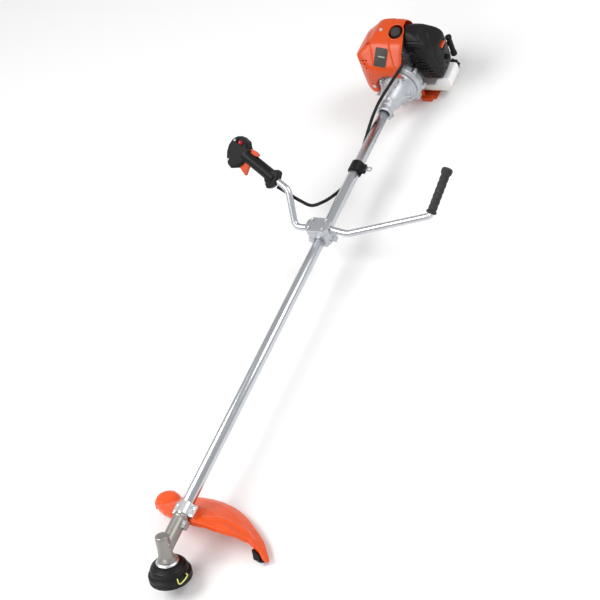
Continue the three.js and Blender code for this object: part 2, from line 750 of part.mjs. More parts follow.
function lockoutLever() {
  const [x, y] = lockoutPivot;
  const blade = slabZ([[x + 3, y - 4], [x + 1, y - 10], [x - 14, y - 13], [x - 27, y - 12], [x - 28, y - 6], [x - 3, y + 3]], -5, 5);
  return join(blade, rodZ(4, -5, 5, x, y, 14));
}

function stopSwitch() {
  const floor = handleThickness / 2 - 5 + clearance;
  return join(block(137, 149, -27, -17, floor, floor + 4), block(140, 146, -26, -18, floor + 3, floor + 8));
}

function handlebar() {
  const handle = place(assembly(
    piece('handle_shell_front', handleHalf(true), black),
    piece('handle_shell_rear', handleHalf(false), black),
    piece('throttle_trigger', throttleTrigger(), orange),
    piece('lockout_lever', lockoutLever(), orange),
    piece('stop_switch', stopSwitch(), red),
  ), -rightBarReach - 24.5 + (handleStart + 22) * Math.cos(handleAngle), rightBarRise + (handleStart + 22) * Math.sin(handleAngle), 0, 0, handleAngle);
  const grip = piece('left_grip', leftGrip(), black);
  const gripPlace = assembly(grip);
  gripPlace.position.set(leftBarReach + 8 * Math.cos(leftGripAngle), leftBarRise + 8 * Math.sin(leftGripAngle), 0);
  gripPlace.rotation.z = leftGripAngle - Math.PI / 2;
  return place(assembly(
    piece('right_bar', rightBar(), aluminium),
    piece('left_bar', leftBar(), aluminium),
    handle, gripPlace,
  ), 0, 0, barRise, barTilt);
}

// ---- throttle cable, held by the handle at one end and the carburettor at the other ----

const cableRadius = 4.3;
// In the trimmer's own frame, from the handle's head to the carburettor.
const cableRoute = [
  [-128.7, -541.2, 195], [-118, -542, 187], [-105, -542.5, 176], [-91, -545, 166], [-72, -548, 155], [-50, -544, 136],
  [-33, -515, 120], [-23, -468, 101], [-19, -430, 90], [-18, -380, 85], [-19, -320, 87], [-22, -270, 96], [-22, -235, 106],
  [-19, -209, 117], [-14, -188, 127], [-11, -168, 132], [-2, -150, 142], [13, -133, 158], [31, -117, 177], [47, -100, 194],
  [54, -81, 202], [57, -62, 202], [57, -44, 195], [57, -31.6, 185],
];

function throttleCable() {
  const path = new THREE.CatmullRomCurve3(cableRoute.map((p) => new THREE.Vector3(...p)), false, 'centripetal');
  return sweep(path, cableRadius, 0, 8, 44);
}

// ---- clutch case and clutch ----

function drumFront() {
  return flangeBack - 2 - drumDepth - 3;
}

function clutchCase() {
  const bore = tubeRadius + clearance;
  const shell = turnY([
    [bore, collarFront], [collarRadius, collarFront], [collarRadius, coneFront - 4], [collarRadius + 5, coneFront],
    [coneRadius, flangeFront], [flangeRadius, flangeFront + 1], [flangeRadius, flangeBack],
    [drumRadius + 6, flangeBack], [drumRadius + 4, drumFront() - 2], [tubeRadius - 3, drumFront() - 9],
    [tubeRadius - 3, tubeRear + clearance], [bore, tubeRear + clearance],
  ], 28);
  const ears = block(-9, 9, collarFront + 5, collarFront + 27, -collarRadius - 8, -collarRadius + 4);
  const slot = block(-1.2, 1.2, collarFront - 1, collarFront + 31, -collarRadius - 12, -bore + 3);
  const boltHole = rodX(3.3, -30, 30, collarFront + 16, -collarRadius - 3, 12);
  const window = slabY([[14, 26], [32, 14], [34, 32]], flangeFront - 44, flangeFront - 10);
  return cut(join(shell, ears), slot, boltHole, window, rodY(bore, collarFront - 1, tubeRear + clearance));
}

function collarBolt() {
  const [y, z] = [collarFront + 16, -collarRadius - 3];
  return join(rodX(3, -11, 12, y, z, 12), rodX(4.8, 9 + clearance, 14, y, z, 6));
}

function clutchDrum() {
  const [front, back] = [drumFront(), drumFront() + drumDepth];
  return turnY([
    [0, front], [8, front], [8, front + 2], [drumRadius, front + 3], [drumRadius, back],
    [drumRadius - 2.5, back], [drumRadius - 2.5, front + 6], [0, front + 6],
  ], 28);
}

// ---- engine ----

function fanHousing() {
  const [outer, wall] = [fanHousingRadius, 3.5];
  const drum = turnY([
    [drumRadius + 7, fanFront], [outer - 6, fanFront], [outer, fanFront + 6], [outer, fanBack],
    [outer - wall, fanBack], [outer - wall, fanFront + 8], [outer - 8, fanFront + 4.5], [drumRadius + 7, fanFront + 4.5],
  ]);
  const lug = (angle) => {
    const [x, z] = [(outer + 2) * Math.cos(angle), (outer + 2) * Math.sin(angle)];
    return cut(rodY(7, fanFront + 9, fanBack, x, z, 14), rodY(outer - 1, fanFront, fanBack + 1, 0, 0, 48));
  };
  return join(drum, lug(-0.22), lug(-0.95), lug(0.62));
}

function flywheel() {
  const [front, back] = [fanFront + 4, fanBack - 5];
  const disc = turnY([[crankRadius + clearance, front + 8], [flywheelRadius, front + 12], [flywheelRadius, back], [crankRadius + clearance, back]], 24);
  const blades = Array.from({ length: fanBlades }, (_, i) => {
    const blade = new THREE.BoxGeometry(2, 14, 24).translate(0, front + 9, flywheelRadius - 14);
    return toSolid(blade.rotateY((2 * Math.PI * i) / fanBlades));
  });
  return join(disc, ...blades);
}

// The crankshaft carries the clutch's rotor, inside the drum, at its front end.
function crankshaft() {
  const rotorBack = drumFront() + drumDepth - 1;
  const rotorFront = drumFront() + 8;
  return turnY([
    [0, rotorFront], [drumRadius - 4.5, rotorFront], [drumRadius - 4.5, rotorBack], [crankRadius, rotorBack + 1],
    [crankRadius, crankcaseBack + 12], [0, crankcaseBack + 12],
  ], 24);
}

function crankcase() {
  const [front, back] = [crankcaseFront, crankcaseBack];
  const barrel = rodY(crankcaseRadius, front, back, 0, 0, 28);
  const deck = block(-30, 30, front + 2, front + 66, 0, cylinderFoot);
  const foot = block(-30, 30, standFront, standFront + 16, -crankcaseRadius - 4, 0);
  const inside = rodY(crankcaseRadius - 8, front + 8, back - 8, 0, 0, 24);
  const bore = rodY(crankRadius + 0.6, front - 1, back + 1, 0, 0, 20);
  return cut(join(barrel, deck, foot), inside, bore);
}

const cylinderY = crankcaseFront + 34;
const finStart = cylinderFoot + 10;
const cylinderTop = finStart + (finCount - 1) * finPitch + finThickness;

function cylinder() {
  const barrel = rodZ(cylinderRadius, cylinderFoot + clearance, cylinderTop, 0, cylinderY, 24);
  const fins = Array.from({ length: finCount }, (_, i) => {
    const z = finStart + i * finPitch;
    return block(-finReach, finReach, cylinderY - finReach, cylinderY + finReach, z, z + finThickness);
  });
  const flange = block(-28, 28, cylinderY - 28, cylinderY + 28, cylinderFoot + clearance, cylinderFoot + 5);
  return join(barrel, flange, ...fins);
}

const plugTilt = THREE.MathUtils.degToRad(22);

function plugAssembly() {
  const plug = turnZ([[0, clearance], [9, clearance], [9, 8], [6, 9], [6, 20], [3, 21], [3, 30], [0, 30]], 12);
  const wall = 3.2;
  const boot = turnZ([
    [6 + clearance, 11], [6 + wall, 11], [12, 20], [15, 34], [13, 42], [8, 45], [0, 45], [0, 33], [6 + clearance, 33],
  ], 18);
  const group = assembly(piece('spark_plug', plug, steel), piece('plug_cap', boot, black));
  group.position.set(8, cylinderY + 11, cylinderTop + 4);
  group.rotation.set(plugTilt, THREE.MathUtils.degToRad(10), 0);
  return group;
}

function muffler() {
  const outline = [[-97, 12], [-89, 4], [-46, 4], [-40, 10], [-40, 76], [-48, 82], [-84, 82], [-97, 70]];
  const box = slabY(outline, cylinderY - 34, cylinderY + 34);
  const port = rodX(12, -41, -finReach - clearance, cylinderY, 60, 16);
  const outlet = rodY(7, cylinderY + 20, cylinderY + 44, -70, 58, 14);
  return join(box, port, outlet);
}

// Outlines of the engine cover: from the front [x, z], from the side [y, z] and from above [x, y].
const coverFrontOutline = [
  [-50, -18], [0, 0], [30, 40], [coverRight, 40], [coverRight, 134], [24, 143], [-5, 146], [-40, 141], [-52, 134],
  [-66, 118], [-82, 112], [-98, 100], [-108, 80], [-111, 56], [-107, 26], [-99, 4], [-88, -14], [-74, -18],
];
const coverSlope = [[-98, 78], [-55, 125]]; // the cover's sloping front, from its foot to its head
const coverSideOutline = [
  [flangeFront - 2, -60], [coverBack, -60], [coverBack, 143], [8, 146], [-22, 139], ...[...coverSlope].reverse(), [-100, 66], [flangeFront - 2, 44],
];
const coverTopOutline = [
  [-40, -101], [60, -101], [60, coverBack], [-104, coverBack], [-114, 18], [-113, -30], [-106, -52], [-90, -76], [-66, -94],
];

// The hollow runs out through the open right side.
function coverSolid(shrink) {
  const open = (corners) => corners.map(([x, other]) => [shrink && x > coverRight - shrink - 0.1 ? coverRight + 40 : x, other]);
  return common(
    slabY(open(inset(coverFrontOutline, shrink)), -200, 100),
    slabX(inset(coverSideOutline, shrink), -200, 100),
    slabZ(open(inset(coverTopOutline, shrink)), -100, 200),
  );
}

function engineCover() {
  const shell = cut(
    coverSolid(0), coverSolid(coverWall), rodY(flangeRadius + 2, -120, 100, 0, 0, 32),
    rodY(fanHousingRadius + 1, fanFront - clearance, fanBack + clearance, 0, 0, 32),
  );
  const louvres = Array.from({ length: 5 }, (_, i) => {
    const z = 62 + i * 9;
    return block(-130, -86, -110, -26 - i * 2, z, z + 4);
  });
  const holes = [];
  for (let row = 0; row < 5; row++) {
    for (let column = 0; column < 2; column++) {
      holes.push(rodY(2.6, -110, -60, -92 + column * 11 + row * 2.5, 40 - row * 14, 8));
    }
  }
  const plugHole = toSolid(new THREE.CylinderGeometry(23, 21, 80, 20).rotateX(Math.PI / 2 + plugTilt).translate(14, cylinderY - 11, cylinderTop + 45));
  return cut(shell, ...louvres, ...holes, plugHole);
}

function labelPlate() {
  const [width, height, thickness] = [38, 50, 1.6];
  const [foot, head] = coverSlope;
  const slope = Math.atan2(head[0] - foot[0], head[1] - foot[1]);
  const lift = thickness / 2 + clearance;
  const centre = [(foot[0] + head[0]) / 2 - lift * Math.cos(slope), (foot[1] + head[1]) / 2 + lift * Math.sin(slope)];
  return toSolid(new THREE.BoxGeometry(width, thickness, height).rotateX(-slope).translate(-18, ...centre));
}

// ---- carburettor and air filter, on the operator's left ----

const primerRadius = 9;
const carburettorY = cylinderY + 4;
const carburettorFront = carburettorY - 15;
const carburettorBack = carburettorY + 22;

function carburettor() {
  const from = finReach + clearance;
  const inlet = rodX(13, from, 64, carburettorY, 66, 18);
  const body = block(39, 61, carburettorFront, carburettorBack, 46, 88);
  const primerRoom = rodY(primerRadius + slideClearance, carburettorBack - 5, carburettorBack + 1, 50, 66, 18);
  return cut(join(inlet, body), primerRoom);
}

function primerBulb() {
  const base = carburettorBack + clearance;
  const dome = [[0, base], [primerRadius, base], [primerRadius, base + 4], [primerRadius - 3, base + 8], [0, base + 10]];
  return toSolid(latheGeometry(dome, 18).translate(50, 0, 66));
}

// Outlines of the air cleaner's cover: from the side [y, z], from the front [x, z] and from above [x, y].
const filterOutline = [
  [-12, -32], [32, -32], [48, -6], [57, 28], [57, 64], [48, 96], [28, 126], [6, 141], [-18, 136], [-39, 110], [-38, 60], [-31, 12],
];
const filterFace = [
  [filterCoverInner, -60], [94, -60], [98, -32], [109, -8], [filterCoverOuter, 44], [110, 78], [94, 104], [72, 128], [filterCoverInner, 144],
];
const filterPlan = [
  [filterCoverInner, -60], [90, -60], [98, -30], [110, -8], [filterCoverOuter, 18], [110, 44], [100, 58], [90, 80], [filterCoverInner, 80],
];

function filterCoverSolid(shrink) {
  const inner = filterCoverInner - (shrink ? 20 : 0);
  const face = inset(filterFace, shrink).map(([x, z]) => [x < filterCoverInner + 5 ? inner : x, z]);
  const plan = inset(filterPlan, shrink).map(([x, y]) => [x < filterCoverInner + 5 ? inner : x, y]);
  return common(slabX(inset(filterOutline, shrink), inner, 200), slabY(face, -200, 200), slabZ(plan, -200, 200));
}

const [chokeY, chokeHeight] = [20, 62];

function airCleanerCover() {
  const shell = cut(filterCoverSolid(0), filterCoverSolid(coverWall));
  const slots = Array.from({ length: 9 }, (_, i) => {
    const z = -14 + i * 13;
    return block(70, 108, -60, -8, z, z + 5);
  });
  const [cableEntry, notch] = [cableRoute.at(-1)[2] + 4 - shaftHeight, cableRadius + 4];
  const cableNotch = rodY(notch, -50, -20, cableRoute.at(-1)[0], cableEntry, 12);
  const cableEdge = block(filterCoverInner - 1, cableRoute.at(-1)[0], -50, -20, cableEntry - notch, cableEntry + notch);
  const leverWindow = block(92, 140, chokeY - 16, chokeY + 16, chokeHeight - 12, chokeHeight + 12);
  const boltHole = rodX(4, 90, 140, 18, 20, 12);
  const starterRoom = rodY(starterRadius + 2, starterFront - 2, starterBack + 20, 0, 0, 36);
  return cut(shell, ...slots, cableNotch, cableEdge, leverWindow, boltHole, starterRoom);
}

function airFilter() {
  return block(66, 88, -14, 40, 4, 92);
}

function chokeLever() {
  const hub = rodX(5, 90, 100, chokeY, chokeHeight, 14);
  const arm = block(97, 115, chokeY - 12, chokeY + 12, chokeHeight - 4, chokeHeight + 4);
  return join(hub, arm);
}

function coverKnob() {
  const base = filterCoverOuter - 1;
  return join(rodX(3.4, 90, base, 18, 20, 10), rodX(8, base, base + 7, 18, 20, 12), block(base + 6, base + 10, 16.6, 19.4, 13, 27));
}

// ---- starter ----

function recoilHousing() {
  const [front, back, outer, wall] = [starterFront, starterBack, starterRadius, 3];
  const shell = turnY([
    [outer - wall, front], [outer, front], [outer, back - 14], [outer - 12, back - 3], [outer - 22, back], [0, back],
    [0, back - wall], [outer - 23, back - wall], [outer - 14, back - wall - 3], [outer - wall, back - 16],
  ]);
  return join(shell, rodX(9, 34, starterRadius + 3, handleY, -2, 16));
}

const handleY = starterBack;
const starterHandleX = 85;

function starterHandle() {
  const stem = rodX(6, starterRadius + 4, starterHandleX + 2, handleY, -2, 14);
  const bar = rodZ(7.5, -40, 26, starterHandleX + 7, handleY, 14);
  const ends = [-40, 26].map((z) => rodZ(9, Math.min(z, z * 0.7), Math.max(z, z * 0.7), starterHandleX + 7, handleY, 14));
  return join(stem, bar, ...ends);
}

// ---- fuel tank and stand ----

const tankBottom = -shaftHeight + standThickness + tankGap;
const tankFront = [
  [-58, tankBottom], [70, tankBottom], [96, tankBottom + 9], [110, tankBottom + 26], [114, -52], [110, -38], [80, -38], [72, -46],
  [62, -64], [-64, -64], [-76, -74], [-76, tankBottom + 16],
];
const tankSide = [[10, tankBottom], [46, tankBottom], [60, tankBottom + 12], [62, -36], [56, -24], [2, -24], [-6, -34], [-6, -82], [0, tankBottom + 8]];

const fillerRadius = 13;
const fillerEnd = 70;
const fillerX = 88;
const fillerZ = -64;

function fuelTank() {
  const body = common(slabY(tankFront, -200, 200), slabX(tankSide, -200, 200));
  return join(body, rodY(fillerRadius, 50, fillerEnd, fillerX, fillerZ, 20));
}

function fuelCap() {
  const [front, back, radius] = [fillerEnd + clearance, fillerEnd + clearance + 12, fillerRadius + 2.5];
  const grips = Array.from({ length: 8 }, (_, i) => {
    const angle = (i * Math.PI) / 4;
    return rodY(3, front, back, fillerX + radius * Math.cos(angle), fillerZ + radius * Math.sin(angle), 8);
  });
  return join(rodY(radius, front, back, fillerX, fillerZ, 24), ...grips);
}

function stand() {
  const bottom = -shaftHeight;
  const x = standWidth / 2;
  const shelfTop = -crankcaseRadius - 4 - clearance;
  const plate = block(-x, x, standFront, standBack, bottom, bottom + standThickness);
  const feet = [-34, 38].map((centre) => block(centre - 15, centre + 15, standFront - 10, standFront + 6, bottom, bottom + 11));
  const web = block(-30, 30, standFront + 2, standFront + 7, bottom, shelfTop);
  const shelf = block(-30, 30, standFront + 2, standFront + 16, shelfTop - 5, shelfTop);
  return join(plate, ...feet, web, shelf);
}

function engine() {
  return assembly(
    piece('clutch_case', clutchCase(), aluminium),
    piece('collar_bolt', collarBolt(), steel),
    piece('clutch_drum', clutchDrum(), steel),
    piece('fan_housing', fanHousing(), aluminium),
    piece('flywheel', flywheel(), castGrey),
    piece('crankshaft', crankshaft(), steel),
    piece('crankcase', crankcase(), aluminium),
    piece('cylinder', cylinder(), aluminium),
    plugAssembly(),
    piece('muffler', muffler(), steel),
    piece('engine_cover', engineCover(), orange),
    piece('label_plate', labelPlate(), labelGrey),
    piece('carburettor', carburettor(), aluminium),
    piece('primer_bulb', primerBulb(), tankWhite),
    piece('air_filter', airFilter(), foam),
    piece('air_cleaner_cover', airCleanerCover(), black),
    piece('choke_lever', chokeLever(), orange),
    piece('cover_knob', coverKnob(), black),
    piece('recoil_housing', recoilHousing(), black),
    piece('starter_handle', starterHandle(), black),
    piece('fuel_tank', fuelTank(), tankWhite),
    piece('fuel_cap', fuelCap(), black),
    piece('stand', stand(), orange),
  );
}

// ---- the whole trimmer ----

const pinion = piece('bevel_pinion', bevelPinion(), steel);
pinion.position.y = spindleY;

const onShaft = assembly(
  piece('shaft_tube', shaftTube(), aluminium),
  piece('drive_shaft', driveShaft(), steel),
  pinion,
  place(stringHead(), 0, spindleY, 0, -spindleTilt),
  place(guardClamp(), 0, guardY, 0),
  place(carryingClip(), 0, clipY, 0),
  place(handlebarClamp(), 0, barY, 0),
  place(assembly(handlebar()), 0, barY, 0),
  engine(),
);
onShaft.position.z = shaftHeight;

const trimmer = assembly(onShaft, piece('throttle_cable', throttleCable(), black));

export default trimmer;
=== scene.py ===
# Petrol string trimmer with a bull-horn handlebar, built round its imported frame.
import json
import math

import bmesh
import bpy
from mathutils import Matrix, Vector
from mathutils.bvhtree import BVHTree


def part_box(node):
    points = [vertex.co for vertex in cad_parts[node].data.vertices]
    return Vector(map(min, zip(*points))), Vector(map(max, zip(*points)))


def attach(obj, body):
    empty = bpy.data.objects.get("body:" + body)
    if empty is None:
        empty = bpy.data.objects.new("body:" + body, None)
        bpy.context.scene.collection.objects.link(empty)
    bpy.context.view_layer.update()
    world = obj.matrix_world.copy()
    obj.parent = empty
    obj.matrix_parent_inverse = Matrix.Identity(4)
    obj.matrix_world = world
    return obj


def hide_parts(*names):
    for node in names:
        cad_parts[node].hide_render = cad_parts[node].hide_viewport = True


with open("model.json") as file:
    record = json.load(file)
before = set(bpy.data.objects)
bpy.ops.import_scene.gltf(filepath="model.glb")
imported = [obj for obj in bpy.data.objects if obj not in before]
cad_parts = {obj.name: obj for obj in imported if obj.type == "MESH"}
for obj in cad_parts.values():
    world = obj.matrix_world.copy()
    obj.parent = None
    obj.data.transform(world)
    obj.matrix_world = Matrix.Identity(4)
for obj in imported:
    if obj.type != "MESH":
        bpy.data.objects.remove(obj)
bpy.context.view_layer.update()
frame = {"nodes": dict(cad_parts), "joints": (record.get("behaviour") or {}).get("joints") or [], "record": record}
nodes = frame["nodes"]
shaftZ = (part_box("shaft_tube")[0].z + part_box("shaft_tube")[1].z) / 2
mm = 0.001
weld = 1e-6  # metres between vertices that count as one
print("frame loaded:", len(nodes), "nodes")

camera = {
    "place": (1.77515, -2.54277, 2.45551),  # metres, with z counted from the shaft's axis
    "right": (0.8576, 0.3879, -0.3379),
    "up": (-0.1061, 0.7760, 0.6217),
    "back": (0.5033, -0.4973, 0.7066),
    "lens": 86.16,
    "sensor": 36,
    "clip": (0.05, 60),
}


def makeCamera():
    data = bpy.data.cameras.new("camera")
    data.sensor_width, data.lens = camera["sensor"], camera["lens"]
    data.clip_start, data.clip_end = camera["clip"]
    holder = bpy.data.objects.new("camera", data)
    bpy.context.scene.collection.objects.link(holder)
    turn = Matrix((camera["right"], camera["up"], camera["back"])).transposed().to_4x4()
    x, y, z = camera["place"]
    holder.matrix_world = Matrix.Translation((x, y, z + shaftZ)) @ turn
    bpy.context.scene.camera = holder


makeCamera()
print("camera")


class Wire:  # a socket that arithmetic works on
    def __init__(self, paint, socket):
        self.paint, self.socket = paint, socket

    def maths(self, operation, first, second):
        return self.paint.add("ShaderNodeMath", {"operation": operation}, {0: first, 1: second})

    def __add__(self, other):
        return self.maths("ADD", self, other)

    def __radd__(self, other):
        return self.maths("ADD", other, self)

    def __sub__(self, other):
        return self.maths("SUBTRACT", self, other)

    def __rsub__(self, other):
        return self.maths("SUBTRACT", other, self)

    def __mul__(self, other):
        return self.maths("MULTIPLY", self, other)

    def __rmul__(self, other):
        return self.maths("MULTIPLY", other, self)


class Paint:  # one material and its nodes
    def __init__(self, name):
        self.material = bpy.data.materials.new(name)
        self.material.use_nodes = True
        self.tree = self.material.node_tree
        self.shader = self.tree.nodes["Principled BSDF"]
        self.place = Wire(self, self.tree.nodes.new("ShaderNodeTexCoord").outputs["Object"])

    def add(self, kind, settings=None, inputs=None, out=0):
        node = self.tree.nodes.new(kind)
        for name, value in (settings or {}).items():
            if name == "stops":
                self.setStops(node.color_ramp, value)
            else:
                setattr(node, name, value)
        for name, value in (inputs or {}).items():
            self.plug(node.inputs[name], value)
        return Wire(self, node.outputs[out])

    def setStops(self, ramp, stops):
        while len(ramp.elements) < len(stops):
            ramp.elements.new(0.5)
        for element, (position, color) in zip(ramp.elements, stops):
            element.position = position
            element.color = (*color, 1) if len(color) == 3 else color

    def plug(self, socket, value):
        if isinstance(value, Wire):
            self.tree.links.new(value.socket, socket)
        elif isinstance(value, tuple) and len(value) == 3 and socket.type == "RGBA":
            socket.default_value = (*value, 1)
        else:
            socket.default_value = value

    def noise(self, scale, detail=3, stretch=None, roughness=0.55):
        place = self.stretched(stretch) if stretch else self.place
        inputs = {"Vector": place, "Scale": scale, "Detail": detail, "Roughness": roughness}
        return self.add("ShaderNodeTexNoise", {"normalize": True}, inputs)

    def cells(self, scale):
        return self.add("ShaderNodeTexVoronoi", {"feature": "F1"}, {"Vector": self.place, "Scale": scale})

    def stretched(self, factors):
        return self.add("ShaderNodeMapping", {}, {"Vector": self.place, "Scale": factors})

    def span(self, value, low, high, start=0.0, end=1.0):
        inputs = {"Value": value, "From Min": low, "From Max": high, "To Min": start, "To Max": end}
        return self.add("ShaderNodeMapRange", {"clamp": True}, inputs)

    def blend(self, factor, first, second):
        inputs = {0: factor, 6: first, 7: second}
        return self.add("ShaderNodeMix", {"data_type": "RGBA"}, inputs, 2)

    def mottled(self, color, value, band, tones):  # a colour that varies between two tones
        return self.blend(self.span(value, *band), *(shade(color, factor) for factor in tones))

    def edges(self, low=0.51, high=0.6):
        return self.span(self.add("ShaderNodeNewGeometry", {}, {}, "Pointiness"), low, high)

    def hollows(self, low=0.42, high=0.49):
        return 1 - self.span(self.add("ShaderNodeNewGeometry", {}, {}, "Pointiness"), low, high)

    def axis(self, letter):
        return self.add("ShaderNodeSeparateXYZ", {}, {0: self.place}, letter)

    def bump(self, height, strength, distance):
        inputs = {"Height": height, "Strength": strength, "Distance": distance}
        self.plug(self.shader.inputs["Normal"], self.add("ShaderNodeBump", {}, inputs))

    def finish(self, color, roughness, metallic=0.0, **fixed):
        self.plug(self.shader.inputs["Base Color"], color)
        self.plug(self.shader.inputs["Roughness"], roughness)
        self.plug(self.shader.inputs["Metallic"], metallic)
        for name, value in fixed.items():
            self.plug(self.shader.inputs[name.replace("_", " ")], value)
        return self.material


def shade(color, factor):
    return tuple(min(1.0, channel * factor) for channel in color)


plasticLook = {
    "cloudScale": 7,
    "cloudBand": (0.3, 0.7),
    "tones": (0.93, 1.05),
    "streakScale": 60,
    "streakStretch": (1, 0.25, 1),
    "streakBand": (0.45, 0.62),
    "scuffScale": 240,
    "scuffStretch": (1, 6, 1),
    "scuffBand": (0.58, 0.7),
    "lumpScale": 95,
    # painted shade: how strongly the hollows are darkened, and the darker tone they go to
    "dust": 0.45,
    "dustShade": 0.62,
    "wornFade": 0.7,
    "wornLift": 0.25,
    "roughness": {"cloud": 0.1, "scuffs": 0.14, "grain": 0.05},
    "height": {"grain": 0.7, "lumps": 0.3, "scuffs": 0.12},
    "coatRoughness": 0.12,
    "bumpDepth": 0.0004,
}


def mouldedPlastic(name, color, gloss, grain=0.25, grainScale=1900, coat=0.0, wear=0.35, shine=0.4):
    look, rough, height = plasticLook, plasticLook["roughness"], plasticLook["height"]
    paint = Paint(name)
    cloud = paint.noise(look["cloudScale"], 4)
    streaks = paint.span(paint.noise(look["streakScale"], 5, look["streakStretch"]), *look["streakBand"])
    scuffs = paint.span(paint.noise(look["scuffScale"], 6, look["scuffStretch"]), *look["scuffBand"])
    lumps = paint.noise(look["lumpScale"], 3)
    fine = paint.noise(grainScale, 2)
    tone = paint.mottled(color, cloud, look["cloudBand"], look["tones"])
    # painted shade: the colour is darkened in the hollows, where shade would fall
    dusty = paint.blend(paint.hollows() * look["dust"], tone, shade(color, look["dustShade"]))
    pale = tuple(channel * look["wornFade"] + look["wornLift"] for channel in color)
    worn = paint.blend(paint.edges() * streaks * wear, dusty, pale)
    clouded = gloss + rough["cloud"] * paint.span(cloud, *look["cloudBand"])
    paint.bump(
        fine * height["grain"] + lumps * height["lumps"] - height["scuffs"] * scuffs, grain, look["bumpDepth"]
    )
    return paint.finish(
        worn, clouded + rough["scuffs"] * scuffs + rough["grain"] * fine,
        Coat_Weight=coat, Coat_Roughness=look["coatRoughness"], Specular_IOR_Level=shine,
    )


castLook = {
    "cloudScale": 14,
    "toneBand": (0.32, 0.68),
    "tones": (0.88, 1.04),
    "grainScale": 1300,
    "grainRoughness": 0.7,
    "pitScale": 700,
    "pitBand": (0.0, 0.25),
    "hollowBand": (0.40, 0.495),
    # grime and painted shade: how strongly the hollows are darkened, and the darker tone they go to
    "grimeAndPaintedShade": 0.7,
    "grimeAndShadeTone": 0.55,
    "edgeBand": (0.51, 0.58),
    "rub": 0.6,
    "rubShade": 1.18,
    "cloudBand": (0.35, 0.65),
    "roughness": {"cloud": 0.14, "grain": 0.1, "rub": 0.12},
    "height": {"grain": 0.8, "pits": 0.25, "cloud": 0.1},
    "metallic": 0.92,
    "bump": 0.35,
    "bumpDepth": 0.0005,
}


def castMetal(name, color, roughness):
    look, rough, height = castLook, castLook["roughness"], castLook["height"]
    paint = Paint(name)
    cloud = paint.noise(look["cloudScale"], 4)
    fine = paint.noise(look["grainScale"], 4, roughness=look["grainRoughness"])
    pits = paint.span(paint.cells(look["pitScale"]), *look["pitBand"])
    edges = paint.edges(*look["edgeBand"])
    tone = paint.mottled(color, cloud, look["toneBand"], look["tones"])
    # grime and painted shade: the colour is darkened in the hollows
    grimeAndPaintedShade = paint.hollows(*look["hollowBand"]) * look["grimeAndPaintedShade"]
    grimedAndShaded = paint.blend(grimeAndPaintedShade, tone, shade(color, look["grimeAndShadeTone"]))
    rubbed = paint.blend(edges * look["rub"], grimedAndShaded, shade(color, look["rubShade"]))
    clouded = roughness + rough["cloud"] * paint.span(cloud, *look["cloudBand"])
    paint.bump(
        fine * height["grain"] + pits * height["pits"] + cloud * height["cloud"], look["bump"], look["bumpDepth"]
    )
    return paint.finish(rubbed, clouded + rough["grain"] * fine - rough["rub"] * edges, look["metallic"])


drawnLook = {
    "lineScale": 1500,
    "lineBand": (0.3, 0.7),
    "tones": (0.94, 1.05),
    "smearScale": 22,
    "smearStretch": (1, 0.35, 1),
    "stainBand": (0.52, 0.72),
    "stain": 0.35,
    "stainShade": 0.78,
    "smearBand": (0.45, 0.7),
    "scratchScale": 500,
    "scratchStretch": (1, 0.06, 1),
    "scratchBand": (0.62, 0.74),
    "roughness": {"lines": 0.1, "smears": 0.12, "scratches": 0.15},
    "height": {"lines": 0.7, "scratches": 0.3},
    "bump": 0.12,
    "bumpDepth": 0.0002,
}


def drawnMetal(name, color, roughness, along=(1, 0.02, 1)):
    look, rough, height = drawnLook, drawnLook["roughness"], drawnLook["height"]
    paint = Paint(name)
    lines = paint.noise(look["lineScale"], 3, along)
    smears = paint.noise(look["smearScale"], 4, look["smearStretch"])
    scratches = paint.noise(look["scratchScale"], 6, look["scratchStretch"])
    scratches = paint.span(scratches, *look["scratchBand"])
    tone = paint.mottled(color, lines, look["lineBand"], look["tones"])
    stain = paint.span(smears, *look["stainBand"]) * look["stain"]
    stained = paint.blend(stain, tone, shade(color, look["stainShade"]))
    smeared = roughness + rough["lines"] * lines + rough["smears"] * paint.span(smears, *look["smearBand"])
    paint.bump(lines * height["lines"] - scratches * height["scratches"], look["bump"], look["bumpDepth"])
    return paint.finish(stained, smeared + rough["scratches"] * scratches, 1.0)


rubberLook = {
    "cloudScale": 20,
    "cloudBand": (0.3, 0.7),
    "tones": (0.9, 1.2),
    "grainScale": 2600,
    "dustScale": 130,
    "dustBand": (0.55, 0.75),
    "dust": 0.25,
    "dustColor": (0.2, 0.19, 0.17),
    "cloudRoughness": 0.15,
    "cloudHeight": 0.2,
    "bump": 0.3,
    "bumpDepth": 0.0004,
}


def softRubber(name, color, roughness):
    look = rubberLook
    paint = Paint(name)
    cloud = paint.noise(look["cloudScale"], 4)
    fine = paint.noise(look["grainScale"], 3)
    tone = paint.mottled(color, cloud, look["cloudBand"], look["tones"])
    dust = paint.span(paint.noise(look["dustScale"], 6), *look["dustBand"]) * look["dust"]
    paint.bump(fine + cloud * look["cloudHeight"], look["bump"], look["bumpDepth"])
    dusty = paint.blend(dust, tone, look["dustColor"])
    return paint.finish(dusty, roughness + look["cloudRoughness"] * cloud)


foamLook = {
    "poreScale": 900,
    "poreBand": (0.1, 0.5),
    "tones": (1.6, 0.5),
    "roughness": 0.85,
    "poreRoughness": 0.1,
    "bump": 0.7,
    "bumpDepth": 0.001,
}


def filterFoam(name, color):
    look = foamLook
    paint = Paint(name)
    pores = paint.span(paint.cells(look["poreScale"]), *look["poreBand"])
    tone = paint.blend(pores, *(shade(color, factor) for factor in look["tones"]))
    paint.bump(pores, look["bump"], look["bumpDepth"])
    return paint.finish(tone, look["roughness"] + look["poreRoughness"] * pores)


